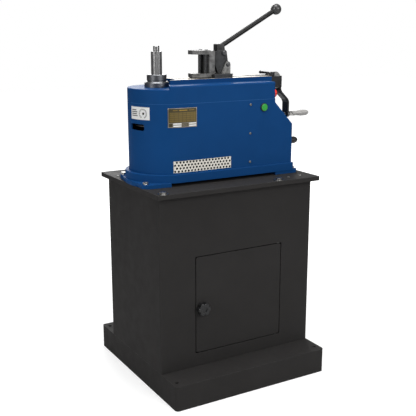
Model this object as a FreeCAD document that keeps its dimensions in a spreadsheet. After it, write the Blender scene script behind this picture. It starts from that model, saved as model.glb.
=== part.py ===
import FreeCAD, Part
import math
import os
import re

import PartDesign
import Sketcher
from FreeCAD import Placement, Rotation, Vector

# Pipe bending machine on a sheet-steel stand.
# Millimetres, +Z up, origin on the floor at the centre of the stand, +X towards the feed crank.
# The shaft stands at the left, the counter-die slide runs along X, the door and controls face -Y.

DIMENSIONS = {
    # Stand
    "plinth_width": 615,
    "plinth_depth": 629,
    "plinth_height": 88,
    "plinth_sheet": 4,
    "plinth_corner": 12,
    "anchor_span_x": 576,
    "anchor_span_y": 564,
    "anchor_radius": 6.5,
    "anchor_sleeve_radius": 11,
    "cabinet_depth": 411,
    "cabinet_sheet": 3,
    "cabinet_corner": 4,
    "table_width": 647,
    "table_depth": 472,
    "table_top": 720,
    "table_thickness": 15,
    "table_corner": 5,
    "table_bolt_y": -217.5,
    "table_bolt_left_x": -297,
    "table_bolt_right_x": 157,
    "table_screw_radius": 2.5,
    # Door
    "door_left": -170,
    "door_right": 179,
    "door_bottom": 139,
    "door_top": 484,
    "door_gap": 3,
    "door_sheet": 2.5,
    "door_corner": 7,
    "doorway_corner": 4,
    "door_stiffener": 12,
    "hinge_inset_x": 7,
    "hinge_inset_y": 8,
    "hinge_pin_radius": 4,
    "hinge_knuckle_radius": 6,
    "hinge_knuckle_length": 36,
    "hinge_pin_reach": 19,
    "bracket_clearance": 11,
    "bracket_sheet": 4,
    "knob_x": -147,
    "knob_z": 300,
    "knob_radius": 23.5,
    "knob_thickness": 17,
    "knob_neck_radius": 13,
    "knob_neck_length": 4,
    "knob_scallop_ring": 27,
    "knob_scallop_radius": 7.5,
    "latch_spindle_radius": 5,
    "latch_length": 45,
    "latch_half_width": 9,
    "latch_sheet": 4,
    # Bending head casings
    "body_depth": 260,
    "body_left_x": -173,
    "body_right_x": 277,
    "head_right_x": 200.5,
    "flange_proud": 6,
    "flange_reach": 8,
    "frame_bottom": 731,
    "frame_top": 760,
    "frame_floor": 8,
    "frame_wall": 16,
    "foot_thickness": 13,
    "foot_left_inner_x": -223,
    "foot_right_inner_x": 201,
    "foot_right_outer_x": 303,
    "foot_right_width": 48,
    "foot_bolt_left_x": -305,
    "foot_bolt_left_y": 108,
    "foot_bolt_rear_x": -297,
    "foot_bolt_rear_y": 90,
    "foot_bolt_right_x": 288.5,
    "foot_bolt_right_y": 112,
    "foot_bolt_radius": 5,
    "casing_wall": 6,
    "casing_corner": 9,
    "split_height": 994,
    "shoulder_low": 900.5,
    "shoulder_high": 981.5,
    "head_top": 1053,
    "head_wall": 10,
    "head_plate": 23,
    "head_edge": 5,
    "recess_floor": 1041.5,
    "bed_half_width": 59,
    "bed_top": 1067.5,
    "bed_right_x": 229,
    "nose_bottom": 1012,
    "strip_thickness": 1,
    "bed_slot_left_x": -130,
    "bed_slot_half_width": 16,
    "notch_radius": 62,
    "recess_corner_x": -226,
    "recess_inner_x": -190,
    "recess_rear_x": -165,
    "slot_bottom": 904,
    "slot_top": 926,
    "slot_near_angle": -0.5,
    "slot_far_angle": 29.5,
    "slot_corner": 7,
    # Front fittings
    "vent_left": -209.5,
    "vent_right": 14,
    "vent_bottom": 764,
    "vent_top": 804,
    "vent_pitch_x": 12.5,
    "vent_pitch_z": 10,
    "vent_hole_radius": 3.7,
    "vent_gap": 0.3,
    "vent_sheet": 1.4,
    "vent_rim": 5,
    "plate_left": -226,
    "plate_right": -123,
    "plate_bottom": 917,
    "plate_top": 981,
    "plate_thickness": 1.2,
    "label_bottom": 941,
    "label_top": 983,
    "label_start_angle": 182,
    "label_sweep": 37,
    "label_thickness": 0.5,
    "panel_screw_x": 92,
    "panel_screw_radius": 2.5,
    "panel_screw_head": 4.5,
    # Bending shaft and drive
    "shaft_x": -205,
    "shaft_bottom": 845,
    "shaft_shoulder": 864,
    "shaft_foot_radius": 20,
    "shaft_radius": 22,
    "hex_flats": 36,
    "hex_corner_radius": 18.65,
    "hex_bottom": 1084,
    "hex_top": 1160,
    "stub_radius": 10.5,
    "stub_top": 1179,
    "collar_bottom": 1041.9,
    "collar_radius": 42,
    "collar_shoulder": 1057,
    "ring_radius": 33.8,
    "ring_bottom": 1063,
    "fit_gap": 0.06,
    "press_gap": 0.02,
    "bush_radius": 36,
    "bush_bottom": 1002,
    "bush_top": 1040,
    "boss_radius": 48,
    "boss_bottom": 1000,
    "gear_module": 2.75,
    "gear_bottom": 960,
    "gear_top": 985,
    "gear_hub_radius": 38,
    "gear_hub_bottom": 945,
    "gear_hub_top": 998,
    "pinion_x": -95,
    "pinion_shaft_radius": 12,
    "pinion_bottom": 956,
    "pinion_top": 989,
    "pinion_journal_radius": 10,
    "pinion_shaft_top": 1012,
    "pinion_boss_radius": 24,
    "wheel_bottom": 885,
    "wheel_top": 905,
    "wheel_radius": 49.5,
    "worm_y": 64,
    "worm_z": 895,
    "worm_radius": 13.5,
    "worm_root_radius": 10,
    "worm_left_x": -131,
    "worm_length": 72,
    "worm_pitch": 9,
    "worm_shaft_radius": 8,
    "worm_shaft_left_x": -152,
    "worm_shaft_right_x": 30,
    "worm_block_thickness": 14,
    "worm_block_half_width": 16,
    "bearing_plate_bottom": 850,
    "bearing_plate_top": 862,
    "bearing_plate_radius": 117,
    "bearing_plate_right_x": -8,
    "post_radius": 7,
    "post_left_x": -190,
    "post_left_y": 108,
    "post_right_x": -20,
    "post_right_y": 92,
    "disc_radius": 80,
    "disc_bottom": 914,
    "disc_thickness": 4,
    "disc_hub_radius": 30,
    "disc_hub_height": 12,
    "motor_y": 64,
    "motor_left_x": 4,
    "motor_length": 196,
    "motor_radius": 55,
    "motor_bell_radius": 48,
    "motor_bell_length": 22,
    "cradle_left_x": 44,
    "cradle_length": 116,
    "cradle_half_width": 32,
    "box_left_x": 72,
    "box_length": 112,
    "box_front_y": -116,
    "box_depth": 78,
    "box_height": 118,
    # Counter-die slide
    "carriage_left_x": -10,
    "carriage_right_x": 71,
    "carriage_bottom": 1067.6,
    "carriage_top": 1081,
    "carriage_corner": 13,
    "carriage_ear_inner": 41,
    "carriage_notch_x": 6.5,
    "tongue_left_x": 20,
    "tongue_right_x": 70,
    "tongue_half_width": 15.5,
    "tongue_bottom": 1018,
    "tee_half_width": 30,
    "tee_thickness": 11.4,
    "cheek_inner": 14,
    "cheek_thickness": 8,
    "lug_thickness": 8,
    "lug_bolt_x": 61,
    "lug_bolt_z": 1112,
    "lug_bolt_radius": 5,
    "pivot_x": 49,
    "pivot_z": 1152,
    "pivot_radius": 6,
    "pivot_boss_radius": 10,
    "fork_half_width": 39.5,
    "fork_tip_half_width": 15.5,
    "fork_web_left_x": -20.5,
    "fork_web_right_x": 1,
    "fork_tip_x": -76,
    "fork_corner_x": -54,
    "fork_bottom": 1070,
    "lower_jaw_top": 1083,
    "upper_jaw_bottom": 1148,
    "fork_top": 1162,
    "fork_foot_half_width": 13.5,
    "fork_foot_top": 1093,
    "fork_tail_right_x": 69,
    "fork_tail_half_width": 6.4,
    "fork_tail_top": 1127,
    "roller_x": -22,
    "roller_y": 19,
    "roller_radius": 9.5,
    "roller_groove_radius": 10.3,
    "roller_pin_radius": 4,
    "drive_pin_x": 57.2,
    "drive_pin_z": 1119,
    "drive_pin_radius": 5,
    "drive_slot_gap": 0.45,
    "drive_slot_bottom": 1110.5,
    "hub_radius": 13,
    "hub_half_width": 13.4,
    "lever_arm_inner": 7,
    "socket_left_x": 26.5,
    "socket_right_x": 53,
    "socket_bottom": 1157,
    "socket_top": 1182,
    "rod_angle": 28.7,
    "rod_radius": 8.6,
    "rod_base_x": 54,
    "rod_base_z": 1177,
    "rod_buried": 24,
    "rod_reach": 261,
    "ball_radius": 19.5,
    # Feed screw and crank
    "screw_z": 1048,
    "screw_radius": 10,
    "screw_root_radius": 8.6,
    "screw_journal_radius": 8,
    "screw_left_x": -28,
    "screw_thread_right_x": 222,
    "screw_pitch": 4,
    "screw_end_x": 303,
    "screw_stud_radius": 6,
    "screw_stud_x": 307,
    "housing_right_x": 247,
    "housing_half_width": 50,
    "housing_bottom": 1018,
    "housing_top": 1066,
    "yoke_right_x": 280,
    "yoke_inner": 38,
    "feed_nut_left_x": 47,
    "feed_nut_radius": 13.5,
    "dial_left_x": 248,
    "dial_step_x": 256,
    "dial_radius": 31,
    "dial_neck_radius": 24,
    "hub_left_x": 291,
    "hub_right_x": 303,
    "crank_hub_radius": 16,
    "crank_half_width": 18,
    "crank_upper_x": 294,
    "crank_lower_x": 332,
    "crank_thickness": 9,
    "crank_bend_top": 1010,
    "crank_bend_bottom": 967,
    "crank_low": 909.5,
    "grip_z": 919.5,
    "grip_left_x": 366,
    "grip_right_x": 441,
    "grip_radius": 11,
    "grip_end_radius": 7.5,
    "grip_bore_radius": 5.1,
    "spindle_radius": 5,
    "spindle_neck_radius": 6.8,
    "ferrule_left_x": 352,
    "ferrule_radius": 8.5,
    "clamp_x": 239.4,
    "clamp_y": -44,
    "clamp_hub_radius": 10,
    "clamp_hub_top": 1081,
    "clamp_stud_radius": 5,
    "clamp_stud_bottom": 1042,
    "clamp_arm_z": 1077,
    "clamp_arm_length": 68,
    "clamp_arm_root_radius": 3.6,
    "clamp_arm_tip_radius": 5.2,
    "clamp_arm_rise": 0.1,
    # Controls
    "start_x": 148,
    "start_z": 966,
    "bezel_radius": 14.5,
    "bezel_height": 4.5,
    "button_cap_radius": 12,
    "button_stem_radius": 8,
    "button_barrel_radius": 11,
    "button_barrel_length": 24,
    "estop_y": -85,
    "estop_z": 1009,
    "estop_collar_radius": 13.5,
    "estop_collar_height": 7.5,
    "estop_head_radius": 16,
    "gland_y": -85,
    "gland_z": 833,
    "gland_flats": 30,
    "gland_radius": 14,
    "gland_bore_radius": 4,
    "gland_thread_radius": 9,
}

doc = FreeCAD.newDocument("pipe_bending_machine")
sheet = doc.addObject("Spreadsheet::Sheet", "Dims")
for row, (alias, number) in enumerate(DIMENSIONS.items(), start=1):
    sheet.set("A%d" % row, alias)
    sheet.set("B%d" % row, str(number))
    sheet.setAlias("B%d" % row, alias)
doc.recompute()

NODES = []
AXIS_TURN = {
    "X": Rotation(Vector(0, 0, 1), Vector(1, 0, 0)),
    "Y": Rotation(Vector(0, 0, 1), Vector(0, 1, 0)),
    "-Y": Rotation(Vector(0, 0, 1), Vector(0, -1, 0)),
    "Z": Rotation(),
}
SKETCH_PLANE = {"X": "YZ_Plane", "Y": "XZ_Plane", "Z": "XY_Plane"}


# Helpers: expressions and sketches

def bind(expression):
    """An expression over the sheet, written with the bare names of its cells."""
    return re.sub(r"[a-z][a-z0-9]*(?:_[a-z0-9]+)+", lambda found: "Dims." + found.group(0), str(expression))


def size(alias):
    """The number in a cell of the sheet."""
    return float(sheet.get(alias))


def node(obj, name):
    """Name an object as one piece of the machine."""
    obj.Label = name
    NODES.append(obj)
    return obj


def place(obj, centre):
    """Bind the position of an object to the sheet."""
    for letter, expression in zip("xyz", centre):
        obj.setExpression("Placement.Base." + letter, bind(expression))


def new_body(name, turn="Z", centre=("0", "0", "0")):
    body = doc.addObject("PartDesign::Body", name)
    body.Placement = Placement(Vector(0, 0, 0), AXIS_TURN[turn])
    place(body, centre)
    return body


def new_sketch(body, axis, at):
    """A sketch square to an axis of the body, at a bound distance along it."""
    sketch = body.newObject("Sketcher::SketchObject", "Sketch")
    role = SKETCH_PLANE[axis]
    plane = next(item for item in body.Origin.OriginFeatures if item.Role == role)
    sketch.AttachmentSupport = [(plane, "")]
    sketch.MapMode = "FlatFace"
    sign = "-1" if axis == "Y" else "1"
    sketch.setExpression("AttachmentOffset.Base.z", bind("%s * (%s)" % (sign, at)))
    return sketch


def hold(sketch, kind, *where, value):
    """Add one dimension to a sketch and bind it."""
    number = sketch.addConstraint(Sketcher.Constraint(kind, *where, 1.0))
    sketch.setExpression("Constraints[%d]" % number, bind(value))


def draw(sketch, shape):
    """Draw a closed outline, or a circle given as (x, y, radius)."""
    if isinstance(shape, tuple):
        x, y, radius = shape
        round_edge = sketch.addGeometry(Part.Circle(Vector(0, 0, 0), Vector(0, 0, 1), 1), False)
        hold(sketch, "DistanceX", round_edge, 3, value=x)
        hold(sketch, "DistanceY", round_edge, 3, value=y)
        hold(sketch, "Radius", round_edge, value=radius)
        return
    count = len(shape)
    first = sketch.GeometryCount
    corners = [Vector(math.cos(math.tau * i / count), math.sin(math.tau * i / count), 0) for i in range(count)]
    for i in range(count):
        sketch.addGeometry(Part.LineSegment(corners[i], corners[(i + 1) % count]), False)
    for i in range(count):
        following = first + (i + 1) % count
        sketch.addConstraint(Sketcher.Constraint("Coincident", first + i, 2, following, 1))
    for i, (x, y) in enumerate(shape):
        hold(sketch, "DistanceX", first + i, 1, value=x)
        hold(sketch, "DistanceY", first + i, 1, value=y)


def rectangle(x0, x1, y0, y1):
    return [(x0, y0), (x1, y0), (x1, y1), (x0, y1)]


# Helpers: solids

def extrude(body, kind, axis, start, end, shapes):
    """Add or remove the outlines between two places along an axis."""
    sketch = new_sketch(body, axis, start)
    for shape in shapes:
        draw(sketch, shape)
    feature = body.newObject("PartDesign::" + kind, kind)
    feature.Profile = sketch
    feature.setExpression("Length", bind("(%s) - (%s)" % (end, start)))
    along = axis != "Y"
    feature.Reversed = not along if kind == "Pad" else along
    return feature


def pad(body, axis, start, end, *shapes):
    return extrude(body, "Pad", axis, start, end, shapes)


def pocket(body, axis, start, end, *shapes):
    return extrude(body, "Pocket", axis, start, end, shapes)


def turned(name, axis, centre, profile):
    """A turned piece. The profile is (radius, distance along the axis) from the centre."""
    body = new_body(name, axis, centre)
    sketch = new_sketch(body, "Y", "0")
    draw(sketch, profile)
    revolution = body.newObject("PartDesign::Revolution", "Revolution")
    revolution.Profile = sketch
    revolution.ReferenceAxis = (sketch, ["V_Axis"])
    revolution.Angle = 360
    return body


def tube(name, axis, centre, outer, inner, length):
    return turned(name, axis, centre, rectangle(inner, outer, "0", length))


def rod(name, axis, centre, radius, length):
    return turned(name, axis, centre, rectangle("0", radius, "0", length))


def dress(body, kind, amount, chosen):
    """Fillet or chamfer the edges of a body whose middle passes a test."""
    doc.recompute()
    base = body.Tip
    edges = []
    for number, edge in enumerate(base.Shape.Edges, start=1):
        if chosen(edge, edge.CenterOfMass):
            edges.append("Edge%d" % number)
    feature = body.newObject("PartDesign::" + kind, kind)
    feature.Base = (base, edges)
    feature.setExpression("Radius" if kind == "Fillet" else "Size", bind(amount))
    return feature


def near(first, second):
    return abs(first - second) < 0.05


def along(edge, axis):
    """Whether an edge is straight and runs along an axis."""
    start, end = edge.Vertexes[0].Point, edge.Vertexes[-1].Point
    travel = end - start
    return edge.Curve.TypeId == "Part::GeomLine" and near(abs(travel.dot(axis)), edge.Length)


def block(name, x, y, z):
    """A plain box between bound pairs of faces."""
    box = doc.addObject("Part::Box", name)
    for dimension, (low, high) in zip(("Length", "Width", "Height"), (x, y, z)):
        box.setExpression(dimension, bind("(%s) - (%s)" % (high, low)))
    place(box, (x[0], y[0], z[0]))
    return box


def cylinder(name, axis, centre, radius, length):
    solid = doc.addObject("Part::Cylinder", name)
    solid.Placement = Placement(Vector(0, 0, 0), AXIS_TURN[axis])
    solid.setExpression("Radius", bind(radius))
    solid.setExpression("Height", bind(length))
    place(solid, centre)
    return solid


def wedge(name, radius, bottom, top, start_angle, sweep):
    """A slice of a cylinder about the axis of the rounded end."""
    solid = doc.addObject("Part::Cylinder", name)
    solid.Placement = Placement(Vector(0, 0, 0), Rotation(Vector(0, 0, 1), start_angle))
    solid.setExpression("Radius", bind(radius))
    solid.setExpression("Height", bind("(%s) - (%s)" % (top, bottom)))
    solid.setExpression("Angle", bind(sweep))
    place(solid, ("body_left_x", "0", bottom))
    return solid


def cut(name, base, tool):
    result = doc.addObject("Part::Cut", name)
    result.Base = base
    result.Tool = tool
    return result


def common(name, first, second):
    result = doc.addObject("Part::Common", name)
    result.Base = first
    result.Tool = second
    return result


def fuse(name, parts):
    result = doc.addObject("Part::MultiFuse", name)
    result.Shapes = parts
    return result


def group(name, parts):
    """Several separate solids in one node."""
    result = doc.addObject("Part::Compound", name)
    result.Links = parts
    return node(result, name)


def hexagon(x, y, flats, turn=0):
    """A hexagon by its width across flats, with one corner turned away from the first sketch axis."""
    corners = []
    for i in range(6):
        angle = math.radians(60 * i + turn)
        across = "%.5f * (%s) / 2" % (2 / math.sqrt(3), flats)
        corners.append(("%s + %.5f * %s" % (x, math.cos(angle), across),
                        "%s + %.5f * %s" % (y, math.sin(angle), across)))
    return corners


def both_sides(function):
    """Build the front and the rear one of a pair."""
    return [function("front", -1), function("rear", 1)]


# Stand

def plinth():
    body = new_body("plinth")
    half_x, half_y = "plinth_width / 2", "plinth_depth / 2"
    pad(body, "Z", "0", "plinth_height", rectangle("-" + half_x, half_x, "-" + half_y, half_y))
    dress(body, "Fillet", "plinth_corner", lambda edge, middle: along(edge, Vector(0, 0, 1)))
    pocket(body, "Z", "plinth_sheet", "plinth_height - plinth_sheet",
           rectangle("plinth_sheet - " + half_x, half_x + " - plinth_sheet",
                     "plinth_sheet - " + half_y, half_y + " - plinth_sheet"))
    anchors = [("%d * anchor_span_x / 2" % i, "%d * anchor_span_y / 2" % j) for i in (-1, 1) for j in (-1, 1)]
    for x, y in anchors:
        pad(body, "Z", "plinth_sheet / 2", "plinth_height - plinth_sheet / 2", (x, y, "anchor_sleeve_radius"))
    pocket(body, "Z", "-1", "plinth_height + 1", *[(x, y, "anchor_radius") for x, y in anchors])
    return node(body, "plinth")


def cabinet_shell():
    body = new_body("cabinet_shell")
    half_x, half_y = "plinth_width / 2", "cabinet_depth / 2"
    top = "table_top - table_thickness"
    pad(body, "Z", "plinth_height", top, rectangle("-" + half_x, half_x, "-" + half_y, half_y))
    dress(body, "Fillet", "cabinet_corner", lambda edge, middle: along(edge, Vector(0, 0, 1)))
    pocket(body, "Z", "plinth_height", top,
           rectangle("cabinet_sheet - " + half_x, half_x + " - cabinet_sheet",
                     "cabinet_sheet - " + half_y, half_y + " - cabinet_sheet"))
    pocket(body, "Y", "-cabinet_depth / 2 - 1", "-cabinet_depth / 2 + cabinet_sheet + 1",
           rectangle("door_left - door_gap", "door_right + door_gap",
                     "door_bottom - door_gap", "door_top + door_gap"))
    front = -size("cabinet_depth") / 2
    dress(body, "Fillet", "doorway_corner",
          lambda edge, middle: along(edge, Vector(0, 1, 0)) and abs(middle.y - front) < size("cabinet_sheet")
          and abs(middle.x) < 200)
    return node(body, "cabinet_shell")


def table_plate():
    body = new_body("table_plate")
    half_x, half_y = "table_width / 2", "table_depth / 2"
    bottom = "table_top - table_thickness"
    pad(body, "Z", bottom, "table_top", rectangle("-" + half_x, half_x, "-" + half_y, half_y))
    dress(body, "Fillet", "table_corner", lambda edge, middle: along(edge, Vector(0, 0, 1)))
    holes = [(x, y, "foot_bolt_radius + press_gap") for x, y in foot_bolt_places()]
    holes += [(x, "table_bolt_y", "6 + press_gap") for x in ("table_bolt_left_x", "table_bolt_right_x")]
    holes += [(x, y, "table_screw_radius + press_gap") for x, y in TABLE_SCREWS]
    pocket(body, "Z", bottom + " + 1", "table_top + 1", *holes)
    return node(body, "table_plate")


TABLE_SCREWS = [("217", "-192"), ("270", "-189"), ("-300", "133"), ("270", "189")]


def foot_bolt_places():
    left = [("foot_bolt_left_x", "-foot_bolt_left_y"), ("foot_bolt_rear_x", "foot_bolt_rear_y")]
    right = [("foot_bolt_right_x", "%d * foot_bolt_right_y" % side) for side in (-1, 1)]
    return left + right


def hex_bolt(name, x, y, seat, shank_radius, flats, head, washer_radius, washer, depth):
    """A hexagon bolt with its washer, standing in a drilled hole."""
    body = new_body(name)
    pad(body, "Z", seat + " - " + depth, seat, (x, y, shank_radius))
    pad(body, "Z", seat, "%s + %s" % (seat, washer), (x, y, washer_radius))
    pad(body, "Z", "%s + %s" % (seat, washer), "%s + %s + %s" % (seat, washer, head), hexagon(x, y, flats, 15))
    return body


def table_bolts():
    bolts = []
    for x in ("table_bolt_left_x", "table_bolt_right_x"):
        bolts.append(hex_bolt("table_bolt", x, "table_bolt_y", "table_top", "6", "22", "6", "18", "2", "13"))
    return group("table_bolts", bolts)


def table_screws():
    screws = []
    for x, y in TABLE_SCREWS:
        body = new_body("table_screw")
        pad(body, "Z", "table_top - 13", "table_top", (x, y, "table_screw_radius"))
        pad(body, "Z", "table_top", "table_top + 2.6", (x, y, "4.8"))
        screws.append(body)
    return group("table_screws", screws)


def cabinet_door():
    body = new_body("cabinet_door")
    front = "-cabinet_depth / 2"
    pad(body, "Y", front, front + " + door_sheet",
        rectangle("door_left", "door_right", "door_bottom", "door_top"))
    dress(body, "Fillet", "door_corner", lambda edge, middle: along(edge, Vector(0, 1, 0)))
    for low, high in (("door_bottom + door_corner", "door_bottom + door_corner + door_sheet"),
                      ("door_top - door_corner - door_sheet", "door_top - door_corner")):
        pad(body, "Y", front + " + door_sheet / 2", front + " + door_stiffener",
            rectangle("door_left + 12", "door_right - 34", low, high))
    axis_x, axis_y = "door_right - hinge_inset_x", front + " + hinge_inset_y"
    for low, high in (("door_bottom", "door_bottom + hinge_knuckle_length"),
                      ("door_top - hinge_knuckle_length", "door_top")):
        pad(body, "Z", low, high, (axis_x, axis_y, "hinge_knuckle_radius"))
        pocket(body, "Z", low, high, (axis_x, axis_y, "hinge_pin_radius + press_gap"))
    pocket(body, "Y", front + " - 1", front + " + door_sheet + 1",
           ("knob_x", "knob_z", "latch_spindle_radius + fit_gap"))
    return node(body, "cabinet_door")


def door_hinge_pins():
    centre_x, centre_y = "door_right - hinge_inset_x", "-cabinet_depth / 2 + hinge_inset_y"
    length = "hinge_knuckle_length + hinge_pin_reach"
    lower = rod("lower_hinge_pin", "Z", (centre_x, centre_y, "door_bottom - hinge_pin_reach"),
                "hinge_pin_radius", length)
    upper = rod("upper_hinge_pin", "Z", (centre_x, centre_y, "door_top - hinge_knuckle_length"),
                "hinge_pin_radius", length)
    return group("door_hinge_pins", [lower, upper])


def door_hinge_brackets():
    brackets = []
    inner_face = "-cabinet_depth / 2 + cabinet_sheet"
    for low in ("door_bottom - bracket_clearance - bracket_sheet", "door_top + bracket_clearance"):
        body = new_body("door_hinge_bracket")
        pad(body, "Z", low, low + " + bracket_sheet",
            rectangle("door_right - 19", "door_right + 7", inner_face, inner_face + " + 13"))
        pocket(body, "Z", low + " - 1", low + " + bracket_sheet + 1",
               ("door_right - hinge_inset_x", "-cabinet_depth / 2 + hinge_inset_y",
                "hinge_pin_radius + fit_gap"))
        brackets.append(body)
    return group("door_hinge_brackets", brackets)


def door_knob():
    front = "-cabinet_depth / 2 - 0.5"
    body = new_body("door_knob")
    outer = front + " - knob_neck_length - knob_thickness"
    pad(body, "Y", outer, front + " - knob_neck_length", ("knob_x", "knob_z", "knob_radius"))
    scallops = []
    for i in range(6):
        angle = math.radians(60 * i + 30)
        scallops.append(("knob_x + %.5f * knob_scallop_ring" % math.cos(angle),
                         "knob_z + %.5f * knob_scallop_ring" % math.sin(angle), "knob_scallop_radius"))
    pocket(body, "Y", outer + " - 1", front + " - knob_neck_length + 1", *scallops)
    face = -size("cabinet_depth") / 2 - 0.5 - size("knob_neck_length") - size("knob_thickness")
    dress(body, "Fillet", "2.5", lambda edge, middle: near(middle.y, face))
    pad(body, "Y", front + " - knob_neck_length - 1", front, ("knob_x", "knob_z", "knob_neck_radius"))
    pocket(body, "Y", outer + " - 1", outer + " + 3", ("knob_x", "knob_z", "9"))
    pocket(body, "Y", outer + " + 6", front + " + 1", ("knob_x", "knob_z", "latch_spindle_radius + press_gap"))
    return node(body, "door_knob")


def latch_cam():
    inner = "-cabinet_depth / 2 + door_sheet"
    body = new_body("latch_cam")
    pad(body, "Y", "-cabinet_depth / 2 - 12", inner + " + 6 + latch_sheet",
        ("knob_x", "knob_z", "latch_spindle_radius"))
    pad(body, "Y", inner + " + 6", inner + " + 6 + latch_sheet",
        rectangle("knob_x - latch_half_width", "knob_x + latch_half_width",
                  "knob_z - latch_half_width", "knob_z + latch_length"))
    dress(body, "Fillet", "latch_half_width - 1",
          lambda edge, middle: along(edge, Vector(0, 1, 0)) and abs(middle.x - size("knob_x")) > 7)
    return node(body, "latch_cam")


# Bending head casings

def rounded_outline(offset, right="head_right_x", left="body_left_x"):
    """The plan of the head, moved outwards by an offset: a box and the disc of its rounded end."""
    half = "(body_depth / 2 + %s)" % offset
    return rectangle(left, right, "-" + half, half), (left, "0", half)


def base_frame():
    body = new_body("base_frame")
    left = "body_left_x - flange_reach"
    box, disc = rounded_outline("flange_proud", "body_right_x", left)
    pad(body, "Z", "frame_bottom", "frame_top", box)
    pad(body, "Z", "frame_bottom", "frame_top", disc)
    box, disc = rounded_outline("flange_proud - frame_wall", "body_right_x - frame_wall", left)
    pocket(body, "Z", "frame_bottom + frame_floor", "frame_top", box)
    pocket(body, "Z", "frame_bottom + frame_floor", "frame_top", disc)
    foot_top = "table_top + foot_thickness"
    pad(body, "Z", "table_top", foot_top,
        [("foot_left_inner_x", "-body_depth / 2 - 6"), ("-302", "-body_depth / 2 + 1"), ("-321", "-111"),
         ("-319", "-74"), ("-325", "-38"), ("-324", "0"), ("-315", "50"), ("-308", "90"), ("-297", "121"),
         ("-281", "body_depth / 2 + 6"), ("foot_left_inner_x", "body_depth / 2 + 8")])
    edge = "(body_depth / 2 + 4)"
    for side in ("-1", "1"):
        pad(body, "Z", "table_top", foot_top,
            [("foot_right_inner_x", side + " * " + edge), ("foot_right_outer_x - 12", side + " * " + edge),
             ("foot_right_outer_x", side + " * (%s - 12)" % edge),
             ("foot_right_outer_x", side + " * (%s - foot_right_width)" % edge),
             ("foot_right_inner_x", side + " * (%s - foot_right_width)" % edge)])
    pocket(body, "Z", "table_top - 1", foot_top + " + 1",
           *[(x, y, "foot_bolt_radius + press_gap") for x, y in foot_bolt_places()])
    top = size("frame_top")
    dress(body, "Fillet", "2",
          lambda edge, middle: near(middle.z, top) and edge.BoundBox.ZLength < 0.1
          and (abs(middle.y) > size("body_depth") / 2 + 2 or middle.x < size("body_left_x") - 60)
          and edge.BoundBox.XMax < size("body_right_x") + 1
          and not near(abs(middle.y), size("body_depth") / 2 - 10))
    return node(body, "base_frame")


def foot_bolts():
    bolts = []
    for x, y in foot_bolt_places():
        bolts.append(hex_bolt("foot_bolt", x, y, "table_top + foot_thickness", "foot_bolt_radius",
                              "17", "6.5", "9.5", "2", "26"))
    return group("foot_bolts", bolts)


def lower_casing():
    body = new_body("lower_casing")
    half = "body_depth / 2"
    pad(body, "Y", "-" + half, half,
        [("body_left_x", "frame_top"), ("body_right_x", "frame_top"), ("body_right_x", "shoulder_low"),
         ("head_right_x", "shoulder_high"), ("head_right_x", "split_height"), ("body_left_x", "split_height")])
    reach = size("body_left_x")
    dress(body, "Fillet", "casing_corner",
          lambda edge, middle: middle.x > reach + 300 and near(abs(middle.y), size("body_depth") / 2)
          and edge.BoundBox.ZLength > 5)
    pad(body, "Z", "frame_top", "split_height", ("body_left_x", "0", half))
    half = "(body_depth / 2 - casing_wall)"
    pocket(body, "Y", "-" + half, half,
           [("body_left_x", "frame_top"), ("body_right_x - casing_wall", "frame_top"),
            ("body_right_x - casing_wall", "shoulder_low - 0.43 * casing_wall"),
            ("head_right_x - casing_wall", "shoulder_high - 0.43 * casing_wall"),
            ("head_right_x - casing_wall", "split_height"), ("body_left_x", "split_height")])
    pocket(body, "Z", "frame_top", "split_height", ("body_left_x", "0", half))
    pocket(body, "Y", "-body_depth / 2 - 10", "-body_depth / 2 + 30",
           rectangle("vent_left", "vent_right", "vent_bottom", "vent_top"))
    outline = []
    for reach, angle in ((110, "slot_near_angle"), (140, "slot_near_angle"),
                         (140, "slot_far_angle"), (110, "slot_far_angle")):
        outline.append(("body_left_x - %d * cos(%s * 1 deg)" % (reach, angle),
                        "-%d * sin(%s * 1 deg)" % (reach, angle)))
    pocket(body, "Z", "slot_bottom", "slot_top", outline)
    slot_heights = (size("slot_bottom"), size("slot_top"))
    dress(body, "Fillet", "slot_corner",
          lambda edge, middle: (edge.Length < 1.5 * size("casing_wall") and middle.x < size("body_left_x") - 90
                                and min(abs(middle.z - height) for height in slot_heights) < 0.1))
    holes = [("start_x", "start_z", "button_barrel_radius + press_gap")]
    holes += [("panel_screw_x", height, "panel_screw_radius + press_gap") for height in PANEL_SCREW_HEIGHTS]
    pocket(body, "Y", "-body_depth / 2 - 1", "-body_depth / 2 + casing_wall + 1", *holes)
    pocket(body, "X", "body_right_x - casing_wall - 1", "body_right_x + 1",
           ("gland_y", "gland_z", "gland_thread_radius + press_gap"))
    return node(body, "lower_casing")


PANEL_SCREW_HEIGHTS = ("978", "878", "777")


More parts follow.
